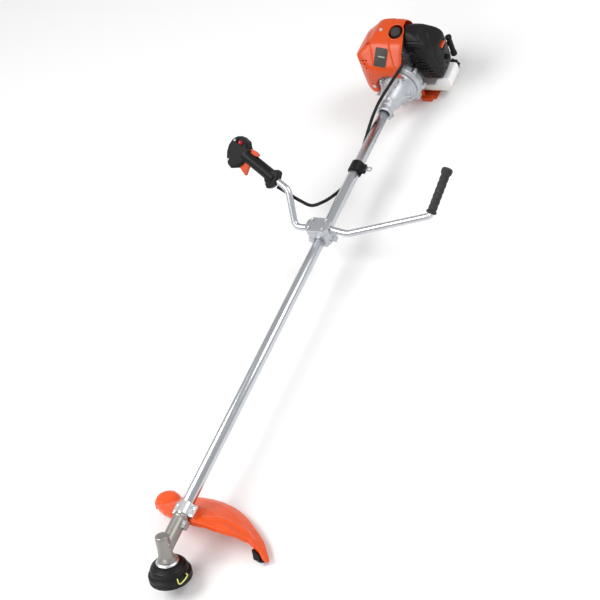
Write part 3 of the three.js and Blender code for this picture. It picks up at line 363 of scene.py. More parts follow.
tankLook = {
    "fuelDepth": 0.034,  # metres of fuel over the tank's floor
    "fuelColor": (0.80, 0.79, 0.70),
    "fuel": 0.55,
    "fuelEdge": 0.0015,
    "fuelRipple": 0.002,
    "cloudScale": 16,
    "cloudBand": (0.3, 0.7),
    "tones": (0.95, 1.0),
    "grainScale": 1500,
    # painted shade: how strongly the hollows are darkened, and the darker tone they go to
    "dust": 0.5,
    "dustShade": 0.6,
    "roughness": 0.3,
    "cloudRoughness": 0.12,
    "height": {"grain": 0.7, "cloud": 0.3},
    "bump": 0.12,
    "bumpDepth": 0.0004,
    "scatter": 0.25,
    "scatterScale": 0.01,
}


def milkyTank(name, color, fuelLevel):
    look, height = tankLook, tankLook["height"]
    paint = Paint(name)
    cloud = paint.noise(look["cloudScale"], 4)
    fine = paint.noise(look["grainScale"], 2)
    surface = paint.axis("Z") + look["fuelRipple"] * cloud
    wet = 1 - paint.span(surface, fuelLevel - look["fuelEdge"], fuelLevel + look["fuelEdge"])
    tone = paint.mottled(color, cloud, look["cloudBand"], look["tones"])
    filled = paint.blend(wet * look["fuel"], tone, look["fuelColor"])
    # painted shade: the milky colour is darkened in the hollows, where shade would fall
    dusty = paint.blend(paint.hollows() * look["dust"], filled, shade(color, look["dustShade"]))
    paint.bump(fine * height["grain"] + cloud * height["cloud"], look["bump"], look["bumpDepth"])
    return paint.finish(
        dusty, look["roughness"] + look["cloudRoughness"] * cloud,
        Subsurface_Weight=look["scatter"], Subsurface_Scale=look["scatterScale"],
    )


lineLook = {
    "twistScale": 900,
    "twistStretch": (1, 1, 0.2),
    "twistBand": (0.35, 0.65),
    "tones": (0.88, 1.08),
    "roughness": 0.32,
    "twistRoughness": 0.1,
    "bump": 0.15,
    "bumpDepth": 0.0002,
}


def cuttingLine(name, color):
    look = lineLook
    paint = Paint(name)
    twist = paint.noise(look["twistScale"], 3, look["twistStretch"])
    tone = paint.mottled(color, twist, look["twistBand"], look["tones"])
    paint.bump(twist, look["bump"], look["bumpDepth"])
    return paint.finish(tone, look["roughness"] + look["twistRoughness"] * twist)


labelLook = {
    "cloudScale": 35,
    "cloudBand": (0.35, 0.65),
    "tones": (0.8, 1.25),
    "grainScale": 2200,
    "wear": 0.5,
    "wornColor": (0.32, 0.30, 0.28),
    "roughness": 0.38,
    "cloudRoughness": 0.15,
    "bump": 0.1,
    "bumpDepth": 0.0002,
    "shine": 0.18,
}


def labelPlate(name, color):
    look = labelLook
    paint = Paint(name)
    cloud = paint.noise(look["cloudScale"], 4)
    fine = paint.noise(look["grainScale"], 2)
    tone = paint.mottled(color, cloud, look["cloudBand"], look["tones"])
    worn = paint.blend(paint.edges() * look["wear"], tone, look["wornColor"])
    paint.bump(fine, look["bump"], look["bumpDepth"])
    rough = look["roughness"] + look["cloudRoughness"] * cloud
    return paint.finish(worn, rough, Specular_IOR_Level=look["shine"])


shroudOrange = (0.63, 0.062, 0.002)
guardOrange = (0.78, 0.080, 0.006)
softBlack = (0.005, 0.005, 0.006)
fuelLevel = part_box("fuel_tank")[0].z + tankLook["fuelDepth"]
finishes = {
    "shroud": mouldedPlastic(
        "shroud orange", shroudOrange, gloss=0.27, grain=0.16, grainScale=1500, coat=0.12, shine=0.34
    ),
    "guard": mouldedPlastic(
        "guard orange", guardOrange, gloss=0.34, grain=0.2, grainScale=1200, coat=0.08, shine=0.34
    ),
    "black_plastic": mouldedPlastic(
        "black plastic", softBlack, gloss=0.36, grain=0.3, grainScale=1700, wear=0.2, shine=0.22
    ),
    "head_plastic": mouldedPlastic(
        "head nylon", (0.005, 0.005, 0.005), gloss=0.32, grainScale=1400, wear=0.25, shine=0.24
    ),
    "grip_rubber": softRubber("grip rubber", (0.018, 0.018, 0.02), roughness=0.62),
    "bulb_rubber": softRubber("bulb rubber", (0.6, 0.63, 0.6), roughness=0.35),
    "pipe": drawnMetal("drawn aluminium", (0.60, 0.62, 0.65), roughness=0.17),
    "cast_aluminium": castMetal("cast aluminium", (0.56, 0.58, 0.61), roughness=0.34),
    "gear_case": castMetal("gear case", (0.36, 0.345, 0.32), roughness=0.31),
    "sheet_metal": drawnMetal("plated sheet", (0.70, 0.71, 0.73), roughness=0.24, along=(1, 1, 0.3)),
    "steel": drawnMetal("zinc steel", (0.60, 0.61, 0.63), roughness=0.26, along=(1, 0.4, 1)),
    "line": cuttingLine("line nylon", (0.80, 0.80, 0.22)),
    "label": labelPlate("label", (0.012, 0.010, 0.009)),
    "red_plastic": mouldedPlastic("red plastic", (0.45, 0.008, 0.012), gloss=0.3, grain=0.15),
    "foam": filterFoam("filter foam", (0.05, 0.05, 0.055)),
    "tank": milkyTank("milky tank", (0.90, 0.91, 0.92), fuelLevel),
}
labelInk = mouldedPlastic("label ink", (0.30, 0.33, 0.29), gloss=0.35, grain=0.1)
print("materials:", len(finishes))

for subpart in frame["record"]["subparts"]:  # every CAD node starts with its slot's finish
    mesh = nodes[subpart["node"]].data
    mesh.materials.clear()
    mesh.materials.append(finishes[subpart["material_slot"]])
slotOf = {subpart["node"]: subpart["material_slot"] for subpart in frame["record"]["subparts"]}
bodyOf = {node: body for body, members in frame["record"]["behaviour"]["bodies"].items() for node in members}


def newPiece(name, mesh, node, slot=None, smooth=True, material=None, hides=True):
    piece = bpy.data.objects.new(name, mesh)
    bpy.context.scene.collection.objects.link(piece)
    mesh.materials.clear()
    mesh.materials.append(material or finishes[slot or slotOf[node]])
    if smooth:
        mesh.polygons.foreach_set("use_smooth", [True] * len(mesh.polygons))
    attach(piece, bodyOf[node])
    if hides:
        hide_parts(node)
    return piece


def detail(name, mesh, node, slot=None, material=None):  # stands beside the node, and hides nothing
    return newPiece(name, mesh, node, slot, True, material, False)


def evaluated(piece):
    graph = bpy.context.evaluated_depsgraph_get()
    return bpy.data.meshes.new_from_object(piece.evaluated_get(graph))


def withModifiers(mesh, *modifiers):
    holder = bpy.data.objects.new("working", mesh)
    bpy.context.scene.collection.objects.link(holder)
    for kind, settings in modifiers:
        modifier = holder.modifiers.new(kind, kind)
        for name, value in settings.items():
            setattr(modifier, name, value)
    made = evaluated(holder)
    bpy.data.objects.remove(holder)
    return made


def meshFrom(build):  # a mesh from a bmesh
    mesh = bpy.data.meshes.new("mesh")
    build.normal_update()
    build.to_mesh(mesh)
    build.free()
    return mesh


def softened(mesh, voxel, rounds, keep=0.5):
    steps = [
        ("REMESH", {"mode": "VOXEL", "voxel_size": voxel}),
        ("SMOOTH", {"factor": 0.5, "iterations": rounds}),
    ]
    if keep < 1:
        steps.append(("DECIMATE", {"ratio": keep}))
    return withModifiers(mesh, *steps)


def cadMesh(node):
    build = bmesh.new()
    build.from_mesh(nodes[node].data)
    bmesh.ops.remove_doubles(build, verts=build.verts, dist=weld)
    mesh = meshFrom(build)
    mesh.materials.clear()
    return mesh


def swollen(mesh, distance):
    moves = [(vertex, vertex.normal.copy()) for vertex in mesh.vertices]
    for vertex, normal in moves:
        vertex.co += normal * distance * mm
    return mesh


def casting(node, voxel, rounds, keep=0.5, swell=0.0):
    mesh = swollen(softened(cadMesh(node), voxel * mm, rounds, keep), swell)
    return newPiece(node + "_skin", mesh, node)


# A turned shape: [radius, height] pairs in millimetres, round the matrix's Z.
def turned(profile, matrix, sides=96, ribs=0, ribDepth=0.0, between=None):
    build = bmesh.new()
    rings = []
    for radius, height in profile:
        ring = []
        ribbed = ribs and between and between[0] <= height <= between[1]
        for i in range(sides):
            angle = 2 * math.pi * i / sides
            reach = radius
            if ribbed:
                reach -= ribDepth * (0.5 + 0.5 * math.cos(ribs * angle)) ** 2
            spot = Vector((reach * math.cos(angle), reach * math.sin(angle), height)) * mm
            ring.append(build.verts.new(matrix @ spot))
        rings.append(ring)
    for low, high in zip(rings, rings[1:]):
        for i in range(sides):
            j = (i + 1) % sides
            build.faces.new((low[i], low[j], high[j], high[i]))
    if profile[0][0] < weld or profile[0] != profile[-1]:
        build.faces.new(list(reversed(rings[0])))
        build.faces.new(rings[-1])
    bmesh.ops.remove_doubles(build, verts=build.verts, dist=weld)
    bmesh.ops.dissolve_degenerate(build, dist=weld / 10, edges=build.edges)
    bmesh.ops.recalc_face_normals(build, faces=build.faces)
    return meshFrom(build)


# Rounds the corners of a profile with short arcs.
def rounded(profile, radius=0.8, steps=3):
    made = [profile[0]]
    for before, corner, after in zip(profile, profile[1:], profile[2:]):
        a, b, c = Vector(before), Vector(corner), Vector(after)
        back, ahead = a - b, c - b
        if min(back.length, ahead.length) < weld:
            continue
        reach = min(radius, back.length * 0.4, ahead.length * 0.4)
        start, end = b + back.normalized() * reach, b + ahead.normalized() * reach
        for i in range(steps + 1):
            t = i / steps
            made.append(tuple(start * (1 - t) ** 2 + b * 2 * t * (1 - t) + end * t * t))
    made.append(profile[-1])
    return made


def joined(*meshes):
    build = bmesh.new()
    for mesh in meshes:
        build.from_mesh(mesh)
    return meshFrom(build)


def boxMesh(size, matrix, bevel=0.0, segments=3):
    build = bmesh.new()
    bmesh.ops.create_cube(build, size=1.0)
    bmesh.ops.scale(build, vec=Vector(size) * mm, verts=build.verts)
    if bevel:
        bmesh.ops.bevel(
            build, geom=build.edges[:], offset=bevel * mm, segments=segments, profile=0.5, affect="EDGES"
        )
    bmesh.ops.transform(build, matrix=matrix, verts=build.verts)
    return meshFrom(build)


def rodMesh(radius, length, matrix, sides=32, bevel=0.4):
    half = length / 2
    profile = [(0, -half), (radius, -half), (radius, half), (0, half)]
    return turned(rounded(profile, bevel), matrix, sides)


def cutAway(mesh, *tools):
    target = bpy.data.objects.new("target", mesh)
    tool = bpy.data.objects.new("tool", joined(*tools))
    for holder in (target, tool):
        bpy.context.scene.collection.objects.link(holder)
    modifier = target.modifiers.new("cut", "BOOLEAN")
    modifier.operation, modifier.object, modifier.solver = "DIFFERENCE", tool, "MANIFOLD"
    made = evaluated(target)
    bpy.data.objects.remove(target)
    bpy.data.objects.remove(tool)
    return made


def tube(name, points, radius, node, sides=12):
    curve = bpy.data.curves.new(name, "CURVE")
    curve.dimensions = "3D"
    curve.bevel_depth = radius
    curve.bevel_resolution = sides // 2
    curve.use_fill_caps = True
    spline = curve.splines.new("POLY")
    spline.points.add(len(points) - 1)
    for point, spot in zip(spline.points, points):
        point.co = (*spot, 1)
    spline.use_smooth = True
    piece = bpy.data.objects.new(name, curve)
    bpy.context.scene.collection.objects.link(piece)
    curve.materials.append(finishes[slotOf[node]])
    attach(piece, bodyOf[node])
    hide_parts(node)
    return piece


# A smooth curve through given points, with even steps along each stretch.
def throughPoints(points, steps=8):
    points = [Vector(p) for p in points]
    ends = [2 * points[0] - points[1], *points, 2 * points[-1] - points[-2]]
    made = []
    for a, b, c, d in zip(ends, ends[1:], ends[2:], ends[3:]):
        t = [0.0]
        for p, q in ((a, b), (b, c), (c, d)):
            t.append(t[-1] + max((q - p).length, 1e-9) ** 0.5)
        for i in range(steps):
            s = t[1] + (t[2] - t[1]) * i / steps
            ab = a.lerp(b, (s - t[0]) / (t[1] - t[0]))
            bc = b.lerp(c, (s - t[1]) / (t[2] - t[1]))
            cd = c.lerp(d, (s - t[2]) / (t[3] - t[2]))
            abc = ab.lerp(bc, (s - t[0]) / (t[2] - t[0]))
            bcd = bc.lerp(cd, (s - t[1]) / (t[3] - t[1]))
            made.append(abc.lerp(bcd, (s - t[1]) / (t[2] - t[1])))
    made.append(points[-1])
    return made


throttleCable = {
    "radius": 4.3,
    "sides": 14,
    "route": [
        (-128.7, -541.2, 195), (-118, -542, 187), (-105, -542.5, 176), (-91, -545, 166),
        (-72, -548, 155), (-50, -544, 136), (-33, -515, 120), (-23, -468, 101), (-19, -430, 90),
        (-18, -380, 85), (-19, -320, 87), (-22, -270, 96), (-22, -235, 106), (-19, -209, 117),
        (-14, -188, 127), (-11, -168, 132), (-2, -150, 142), (13, -133, 158), (31, -117, 177),
        (47, -100, 194), (54, -81, 202), (57, -62, 202), (57, -44, 195), (57, -31.6, 185),
    ],
}


def makeThrottleCable():
    spec = throttleCable
    points = [p * mm for p in throughPoints(spec["route"])]
    cable = tube("throttle_cable_sheath", points, spec["radius"] * mm, "throttle_cable", sides=spec["sides"])


makeThrottleCable()

# Places taken from the frame: the string head, the shaft, the handlebar and the throttle handle.
handle = {
    "clampLift": 0.025,  # metres from the shaft's axis up to the bars
    "elbow": (-94.5, 91),
    "degrees": 148.5,
    "setback": 34,
    "screwPlaces": ((26, 22), (150, 34), (160, -18)),
    "screw": [(0, 8), (3.1, 8), (3.4, 14.6), (2.8, 15.0), (1.4, 15.0), (1.2, 13.6), (0, 13.6)],
}
spindle = Vector(next(j["pos_m"] for j in frame["joints"] if j["name"] == "head_spin"))
tilt = math.atan2(0.40992, 0.91212)  # between the spindle and the upright
headPlace = Matrix.Translation(spindle) @ Matrix.Rotation(-tilt, 4, "X")
alongY = Matrix.Translation((0, 0, shaftZ)) @ Matrix.Rotation(-math.pi / 2, 4, "X")
clampY = sum(corner.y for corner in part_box("clamp_top")) / 2
barPlace = Matrix.Translation((0, clampY, shaftZ + handle["clampLift"])) @ Matrix.Rotation(math.pi / 4, 4, "X")
handleTurn = math.radians(handle["degrees"])


def fromElbow(reach):  # a spot on the right bar's last stretch, in the bars' plane
    x, y = handle["elbow"]
    return (x + reach * math.cos(handleTurn), y + reach * math.sin(handleTurn))


handleStart = Vector((*fromElbow(handle["setback"]), 0)) * mm
handlePlace = barPlace @ Matrix.Translation(handleStart) @ Matrix.Rotation(handleTurn, 4, "Z")


def at(x, y, z):  # millimetres, with z counted from the shaft's axis
    return Matrix.Translation((x * mm, y * mm, z * mm + shaftZ))


def shift(x, y, z):  # millimetres
    return Matrix.Translation((x * mm, y * mm, z * mm))


def turn(degrees, axis):
    return Matrix.Rotation(math.radians(degrees), 4, axis)


def stepped(start, step, count):  # where the count-th of a row stands
    return [s + d * count for s, d in zip(start, step)]


shaft = {"radius": 14, "wall": 1.5, "chamfer": 0.3}


def makeShaft():
    low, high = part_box("shaft_tube")
    front, rear = low.y / mm, high.y / mm
    r, inner, c = shaft["radius"], shaft["radius"] - shaft["wall"], shaft["chamfer"]
    outside = [(r - c, front), (r, front + c), (r, rear - c), (r - c, rear)]
    profile = [*outside, (inner, rear), (inner, front), (r - c, front)]
    newPiece("shaft_tube_skin", turned(profile, alongY), "shaft_tube")


makeShaft()
print("shaft")

# Profiles are turned round the spindle, as [radius, height] with the heights counted from the bevel gears.
gearCase = {
    "sleeve": [(14.3, 31), (17.2, 0), (17.2, 78), (18.0, 80), (18.0, 85), (14.3, 85), (14.3, 31)],
    "body": [
        (0, -27), (21, -27), (21, -23.4), (19.5, -20), (17.2, -15), (16.2, -8), (15.5, 4), (15.5, 31),
        (15.0, 35), (13, 37), (0, 37),
    ],
    "earSize": (9, 20, 6.2),
    "earBevel": 1.2,
    "earPlace": (21.5, 0, 66),
    "earApart": 4.2,
    "ribSize": (3.4, 46, 10),
    "ribBevel": 1,
    "ribPlace": (0, 34, -17),
    "plug": {"radius": 4.6, "length": 5, "sides": 32, "bevel": 0.8},
    "plugPlace": (15.5, 0, 14),
    "shaftLean": 24.2,
    "shank": {"radius": 3, "length": 19},
    "shankPlace": (22.7, 66, -0.5),
    "boltHead": {"radius": 4.6, "length": 4, "sides": 6, "bevel": 0.3},
    "boltHeadPlace": (22.7, 66, 9.8),
    "voxel": 0.9,
    "rounds": 4,
    "keep": 0.5,
}


def makeGearCase():
    spec = gearCase
    shaftTurn = headPlace @ Matrix.Rotation(tilt, 4, "X") @ Matrix.Rotation(-math.pi / 2, 4, "X")
    leanTurn = headPlace @ turn(spec["shaftLean"], "X")
    earTurn = shaftTurn @ shift(*spec["earPlace"]) @ turn(90, "X")
    parts = [turned(spec["sleeve"], shaftTurn), turned(spec["body"], headPlace)]
    for side in (1, -1):
        parts.append(boxMesh(spec["earSize"], earTurn @ shift(0, 0, side * spec["earApart"]), spec["earBevel"]))
    parts.append(boxMesh(spec["ribSize"], leanTurn @ shift(*spec["ribPlace"]), spec["ribBevel"]))
    parts.append(rodMesh(matrix=headPlace @ shift(*spec["plugPlace"]) @ turn(90, "Y"), **spec["plug"]))
    mesh = softened(joined(*parts), spec["voxel"] * mm, spec["rounds"], spec["keep"])
    newPiece("gear_case_skin", mesh, "gear_case")
    shank = rodMesh(matrix=leanTurn @ shift(*spec["shankPlace"]), **spec["shank"])
    head = rodMesh(matrix=leanTurn @ shift(*spec["boltHeadPlace"]), **spec["boltHead"])
    newPiece("case_clamp_bolt_skin", joined(shank, head), "case_clamp_bolt", smooth=False)


stringHead = {
    "dustCover": [
        (5.3, -33.3), (5.3, -27.3), (19, -27.3), (23, -28.6), (26, -31.3), (26, -33.3), (5.3, -33.3),
    ],
    "dustRounding": 0.8,
    "outside": [
        (5.3, -33.6), (22, -33.6), (29, -34.6), (35, -37.2), (36, -39.4), (39.6, -41.6), (41.2, -44.2),
        (41.2, -46.6), (43, -48.4), (43, -50.4), (42.2, -51.4), (42.2, -54), (43, -55), (43, -57.6),
        (46, -59), (49, -60.6), (49, -63), (48.2, -64), (48.2, -70), (49, -71), (49, -72.6),
    ],
    "outsideRounding": 0.7,
    "inside": [
        (46.4, -72.6), (46.4, -63.2), (40.4, -60.6), (40.4, -53.6), (33, -46.6), (26, -38.6),
        (5.3, -37.6), (5.3, -33.6),
    ],
    "rimRibs": {"ribs": 48, "ribDepth": 0.7, "between": (-70.5, -63.5)},
    "eyelet": [(2, -2), (5.5, -2), (4.9, 2), (3.9, 2.6), (2.4, 2.6), (2, 2), (2, -2)],
    "eyeletRounding": 0.4,
    "eyeletOut": 42.5,
    "eyeletLevel": -54.6,
    "base": [
        (25.6, -72.9), (49, -72.9), (49, -75.2), (47.4, -76.4), (40, -76.4), (38.8, -75.6), (31, -75.6),
        (30, -76.4), (25.6, -76.4), (25.6, -72.9),
    ],
    "baseRounding": 0.5,
    "knob": [
        (0, -73.1), (25, -73.1), (25, -84), (24.2, -87), (21.5, -90), (17, -90.4), (15.5, -89.2),
        (6, -89.2), (4.5, -90.4), (0, -90.4),
    ],
    "knobRounding": 1.2,
    "knobRibs": {"ribs": 12, "ribDepth": 1.6, "between": (-88, -74.5)},
    "ribbedSides": 144,
}


def makeStringHead():
    spec = stringHead
    dust = rounded(spec["dustCover"], spec["dustRounding"])
    newPiece("dust_cover_skin", turned(dust, headPlace), "dust_cover")
    housing = [*rounded(spec["outside"], spec["outsideRounding"]), *spec["inside"]]
    parts = [turned(housing, headPlace, spec["ribbedSides"], **spec["rimRibs"])]
    for side in (-1, 1):
        mount = headPlace @ shift(side * spec["eyeletOut"], 0, spec["eyeletLevel"]) @ turn(90 * side, "Y")
        parts.append(turned(rounded(spec["eyelet"], spec["eyeletRounding"]), mount, 40))
    newPiece("head_housing_skin", joined(*parts), "head_housing")
    newPiece("head_base_skin", turned(rounded(spec["base"], spec["baseRounding"]), headPlace), "head_base")
    knob = turned(rounded(spec["knob"], spec["knobRounding"]), headPlace, spec["ribbedSides"], **spec["knobRibs"])
    newPiece("bump_knob_skin", knob, "bump_knob")


nylonLine = {
    "radius": 1.3,
    "route": [
        (45.3, 0, -54.6), (50.3, -2, -55.2), (51.8, -8, -56.6), (51.8, -20, -58.0), (50.3, -31, -58.6),
        (48.9, -34, -55.6), (47.7, -34.4, -43.6),
    ],
}


def makeNylonLine():
    placed = [headPlace @ (p * mm) for p in throughPoints(nylonLine["route"], 6)]
    tube("nylon_line_skin", placed, nylonLine["radius"] * mm, "nylon_line")


makeGearCase()
makeStringHead()
makeNylonLine()
print("string head")

guard = {
    "voxel": 1.4,
    "rounds": 6,
    "longEdge": 0.012,  # metres
    "ridges": [((30, 100), (52, 102), (84, 122), (136, 124), (158, 112)), ((86, 92), (104, 98), (172, 84))],
    "ridgeLift": 3.4,
    "ridgeWidth": 5,
    "bracketAt": 94,
    "bracketReach": 34,
    "bracketFade": 14,
    "rimDepth": 60,
    "rimFade": 40,
    "keep": 0.5,
}


def nearSegment(spot, a, b):
    ax, ay, bx, by = *a, *b
    along = ((spot.x - ax) * (bx - ax) + (spot.y - ay) * (by - ay)) / ((bx - ax) ** 2 + (by - ay) ** 2)
    along = min(1.0, max(0.0, along))
    return math.hypot(spot.x - ax - along * (bx - ax), spot.y - ay - along * (by - ay))


def makeGuard():
    spec = guard
    back = headPlace.inverted()
    build = bmesh.new()
    build.from_mesh(cadMesh("guard"))
    long = [edge for edge in build.edges if edge.calc_length() > spec["longEdge"]]
    bmesh.ops.subdivide_edges(build, edges=long, cuts=2, use_grid_fill=True)
    mesh = softened(meshFrom(build), spec["voxel"] * mm, spec["rounds"], 1)
    for vertex in mesh.vertices:  # two soft ridges across the roof
        spot = back @ vertex.co / mm
        lift = 0.0
        for ridge in spec["ridges"]:
            near = min(nearSegment(spot, a, b) for a, b in zip(ridge, ridge[1:]))
            lift = max(lift, spec["ridgeLift"] * math.exp(-((near / spec["ridgeWidth"]) ** 2)))
        fromBracket = math.hypot(spot.x, spot.y - spec["bracketAt"]) - spec["bracketReach"]
        keepOff = min(1.0, max(0.0, fromBracket / spec["bracketFade"]))
        edge = min(1.0, max(0.0, (spot.z + spec["rimDepth"]) / spec["rimFade"]))
        vertex.co = headPlace @ ((spot + Vector((0, 0, lift * keepOff * edge))) * mm)
    mesh = withModifiers(mesh, ("SMOOTH", {"factor": 0.4, "iterations": 2}), ("DECIMATE", {"ratio": spec["keep"]}))
    newPiece("guard_skin", mesh, "guard")


makeGuard()
casting("cutter_holder", voxel=0.8, rounds=4)
casting("guard_clamp_plate", voxel=0.6, rounds=3)
casting("guard_bracket", voxel=0.6, rounds=3)
print("guard")

casting("harness_clip", voxel=0.7, rounds=5)
casting("harness_eyelet", voxel=0.5, rounds=4)
print("carrying clip")

handlebar = {
    "barRadius": 8.5,
    "barSides": 24,
    "leftCorners": [(0.6, 0), (38, 0), (80, -6)],
    "leftRadii": [20, 50, 14],
    "leftAngle": 70.5,
    "leftReach": 301,
    "leftRise": 55,
    "gripIn": 70,
    "rightCorners": [(-0.6, 0), (-70, 0)],
    "rightRadii": [20, 34],
    "handleIn": 96,
}
leftGrip = {
    "radius": 10.8,
    "length": 115,
    "start": 8,
    "clearance": 0.3,
    "boreDepth": 72,
    "collar": [(12.6, 0), (13.0, 1.5), (12.6, 5), (11.4, 6)],
    "ribs": 6,
    "ribsStart": 7,
    "ribsShort": 28,
    "rib": [(-0.9, 0), (-0.9, 1.4), (0.1, 3), (0.3, 7), (0, 11.5)],
    "end": [(10.1, -19), (12.6, -15), (13.6, -12), (13.6, -6), (12.6, -2), (9, 0), (0, 0)],
    "rounding": 0.9,
}
clampScrew = [(0, -40), (2.5, -40), (2.5, -4), (4.5, -4), (4.5, -0.6), (4.0, 0), (2.3, 0), (2.1, -2.2), (0, -2.6)]


def barPath(corners, radii, steps=14):
    corners = [Vector((x, y, 0)) for x, y in corners]
    path = [corners[0]]
    for i in range(1, len(corners) - 1):
        back = (corners[i - 1] - corners[i]).normalized()
        ahead = (corners[i + 1] - corners[i]).normalized()
        reach = radii[i - 1] / math.tan(back.angle(ahead) / 2)
        enter, leave = corners[i] + back * reach, corners[i] + ahead * reach
        for k in range(steps + 1):
            t = k / steps
            path.append(enter * (1 - t) ** 2 + corners[i] * 2 * t * (1 - t) + leave * t * t)
    path.append(corners[-1])
    return [barPlace @ (p * mm) for p in path]


def alongGrip(reach):  # a spot on the left bar's last stretch, in the bars' plane
    angle = math.radians(handlebar["leftAngle"])
    return (handlebar["leftReach"] + reach * math.cos(angle), handlebar["leftRise"] + reach * math.sin(angle))


def makeBars():
    spec = handlebar
    radius, sides = spec["barRadius"] * mm, spec["barSides"]
    corners = [*spec["leftCorners"], (spec["leftReach"], spec["leftRise"]), alongGrip(spec["gripIn"])]
    tube("left_bar_skin", barPath(corners, spec["leftRadii"]), radius, "left_bar", sides)
    corners = [*spec["rightCorners"], handle["elbow"], fromElbow(spec["handleIn"])]
    tube("right_bar_skin", barPath(corners, spec["rightRadii"]), radius, "right_bar", sides)


def makeLeftGrip():
    spec = leftGrip
    body, length, bore = spec["radius"], spec["length"], handlebar["barRadius"] + spec["clearance"]
    profile = [(0, spec["boreDepth"]), (bore, spec["boreDepth"]), (bore, 0), *spec["collar"]]
    for i in range(spec["ribs"]):
        start = spec["ribsStart"] + i * (length - spec["ribsShort"]) / spec["ribs"]
        profile += [(body + out, start + along) for out, along in spec["rib"]]
    profile += [(radius, length + along) for radius, along in spec["end"]]
    start = Vector((*alongGrip(spec["start"]), 0)) * mm
    lean = math.radians(handlebar["leftAngle"]) - math.pi / 2
    place = barPlace @ Matrix.Translation(start) @ Matrix.Rotation(lean, 4, "Z") @ turn(-90, "X")
    newPiece("left_grip_skin", turned(rounded(profile, spec["rounding"]), place), "left_grip")


def makeClamp():
    casting("clamp_top", voxel=0.8, rounds=5)
    casting("clamp_base", voxel=0.8, rounds=5)
    for index in range(4):
        node = f"clamp_screw_{index + 1}"
        low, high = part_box(node)
        middle = (low + high) / 2
        profile = [(radius, high.z / mm + height) for radius, height in clampScrew]
        newPiece(node + "_skin", turned(profile, Matrix.Translation((middle.x, middle.y, 0)), 48), node)


def makeHandle():
    casting("handle_shell_front", voxel=0.9, rounds=7)
    casting("handle_shell_rear", voxel=0.9, rounds=7)
    casting("throttle_trigger", voxel=0.6, rounds=6)
    casting("lockout_lever", voxel=0.6, rounds=6)
    casting("stop_switch", voxel=0.4, rounds=3, swell=-0.6)
    screws = [turned(handle["screw"], handlePlace @ shift(x, y, 0), 32) for x, y in handle["screwPlaces"]]
    detail("handle_screws", joined(*screws), "handle_shell_front", slot="steel")


makeBars()
makeLeftGrip()
makeClamp()
makeHandle()
print("handlebar")

clutch = {
    "shell": [
        (14.3, -149), (14.3, -183), (20.5, -183), (20.5, -174), (19.2, -173), (19.2, -163), (20.5, -162),
        (20.5, -151), (25.5, -146), (28.5, -139), (32.5, -124), (38, -107), (44, -93), (47, -88), (49, -85.5),
        (54, -85), (54, -77), (40, -77), (38, -103), (12, -110), (12, -149), (14.3, -149),
    ],
    "shellSides": 120,
    "shellRounding": 1.5,
    "gussets": 6,
    "gussetSize": (3.2, 34, 11),
    "gussetPlace": (0, -101, 40.5),
    "gussetLean": -22,
    "bolts": 4,
    "boss": {"radius": 6.4, "length": 14, "sides": 32, "bevel": 1},
    "bossPlace": (0, -84.5, 47),
    "boltPlace": (0, -93.5, 47),
    "bolt": [(0, -2), (4.2, -2), (4.2, 2.4), (3.7, 3), (2.1, 3), (1.9, 0.8), (0, 0.8)],
    "earSize": (7.4, 22, 13),
    "earApart": 4.9,
    "earPlace": (-167, -22.6),
    "earBevel": 1.4,
    "shank": {"radius": 3, "length": 23},
    "shankPlace": (0.5, -167, -23.5),
    "boltHead": {"radius": 4.8, "length": 4.7, "sides": 6, "bevel": 0.3},
    "boltHeadPlace": (11.65, -167, -23.5),
    "voxel": 1.0,
    "rounds": 4,
    "keep": 0.4,
}


def makeClutchCase():
    spec = clutch
    parts = [turned(rounded(spec["shell"], spec["shellRounding"]), alongY, spec["shellSides"])]
    for i in range(spec["gussets"]):
        place = at(0, 0, 0) @ turn(360 * (i + 0.5) / spec["gussets"], "Y")
        place = place @ shift(*spec["gussetPlace"]) @ turn(spec["gussetLean"], "X")
        parts.append(boxMesh(spec["gussetSize"], place, 1))
    quarters = [at(0, 0, 0) @ turn(45 + 90 * i, "Y") for i in range(spec["bolts"])]
    for quarter in quarters:
        parts.append(rodMesh(matrix=quarter @ shift(*spec["bossPlace"]) @ turn(90, "X"), **spec["boss"]))
    for side in (-1, 1):
        parts.append(boxMesh(spec["earSize"], at(side * spec["earApart"], *spec["earPlace"]), spec["earBevel"]))
    mesh = softened(joined(*parts), spec["voxel"] * mm, spec["rounds"], spec["keep"])
    newPiece("clutch_case_skin", mesh, "clutch_case")
    bolts = [turned(spec["bolt"], quarter @ shift(*spec["boltPlace"]) @ turn(90, "X"), 32) for quarter in quarters]
    detail("flange_bolts", joined(*bolts), "clutch_case", slot="steel")
    shank = rodMesh(matrix=at(*spec["shankPlace"]) @ turn(90, "Y"), **spec["shank"])
    head = rodMesh(matrix=at(*spec["boltHeadPlace"]) @ turn(90, "Y"), **spec["boltHead"])
    newPiece("collar_bolt_skin", joined(shank, head), "collar_bolt", smooth=False)


makeClutchCase()
casting("fan_housing", voxel=1.2, rounds=6)
print("clutch case")

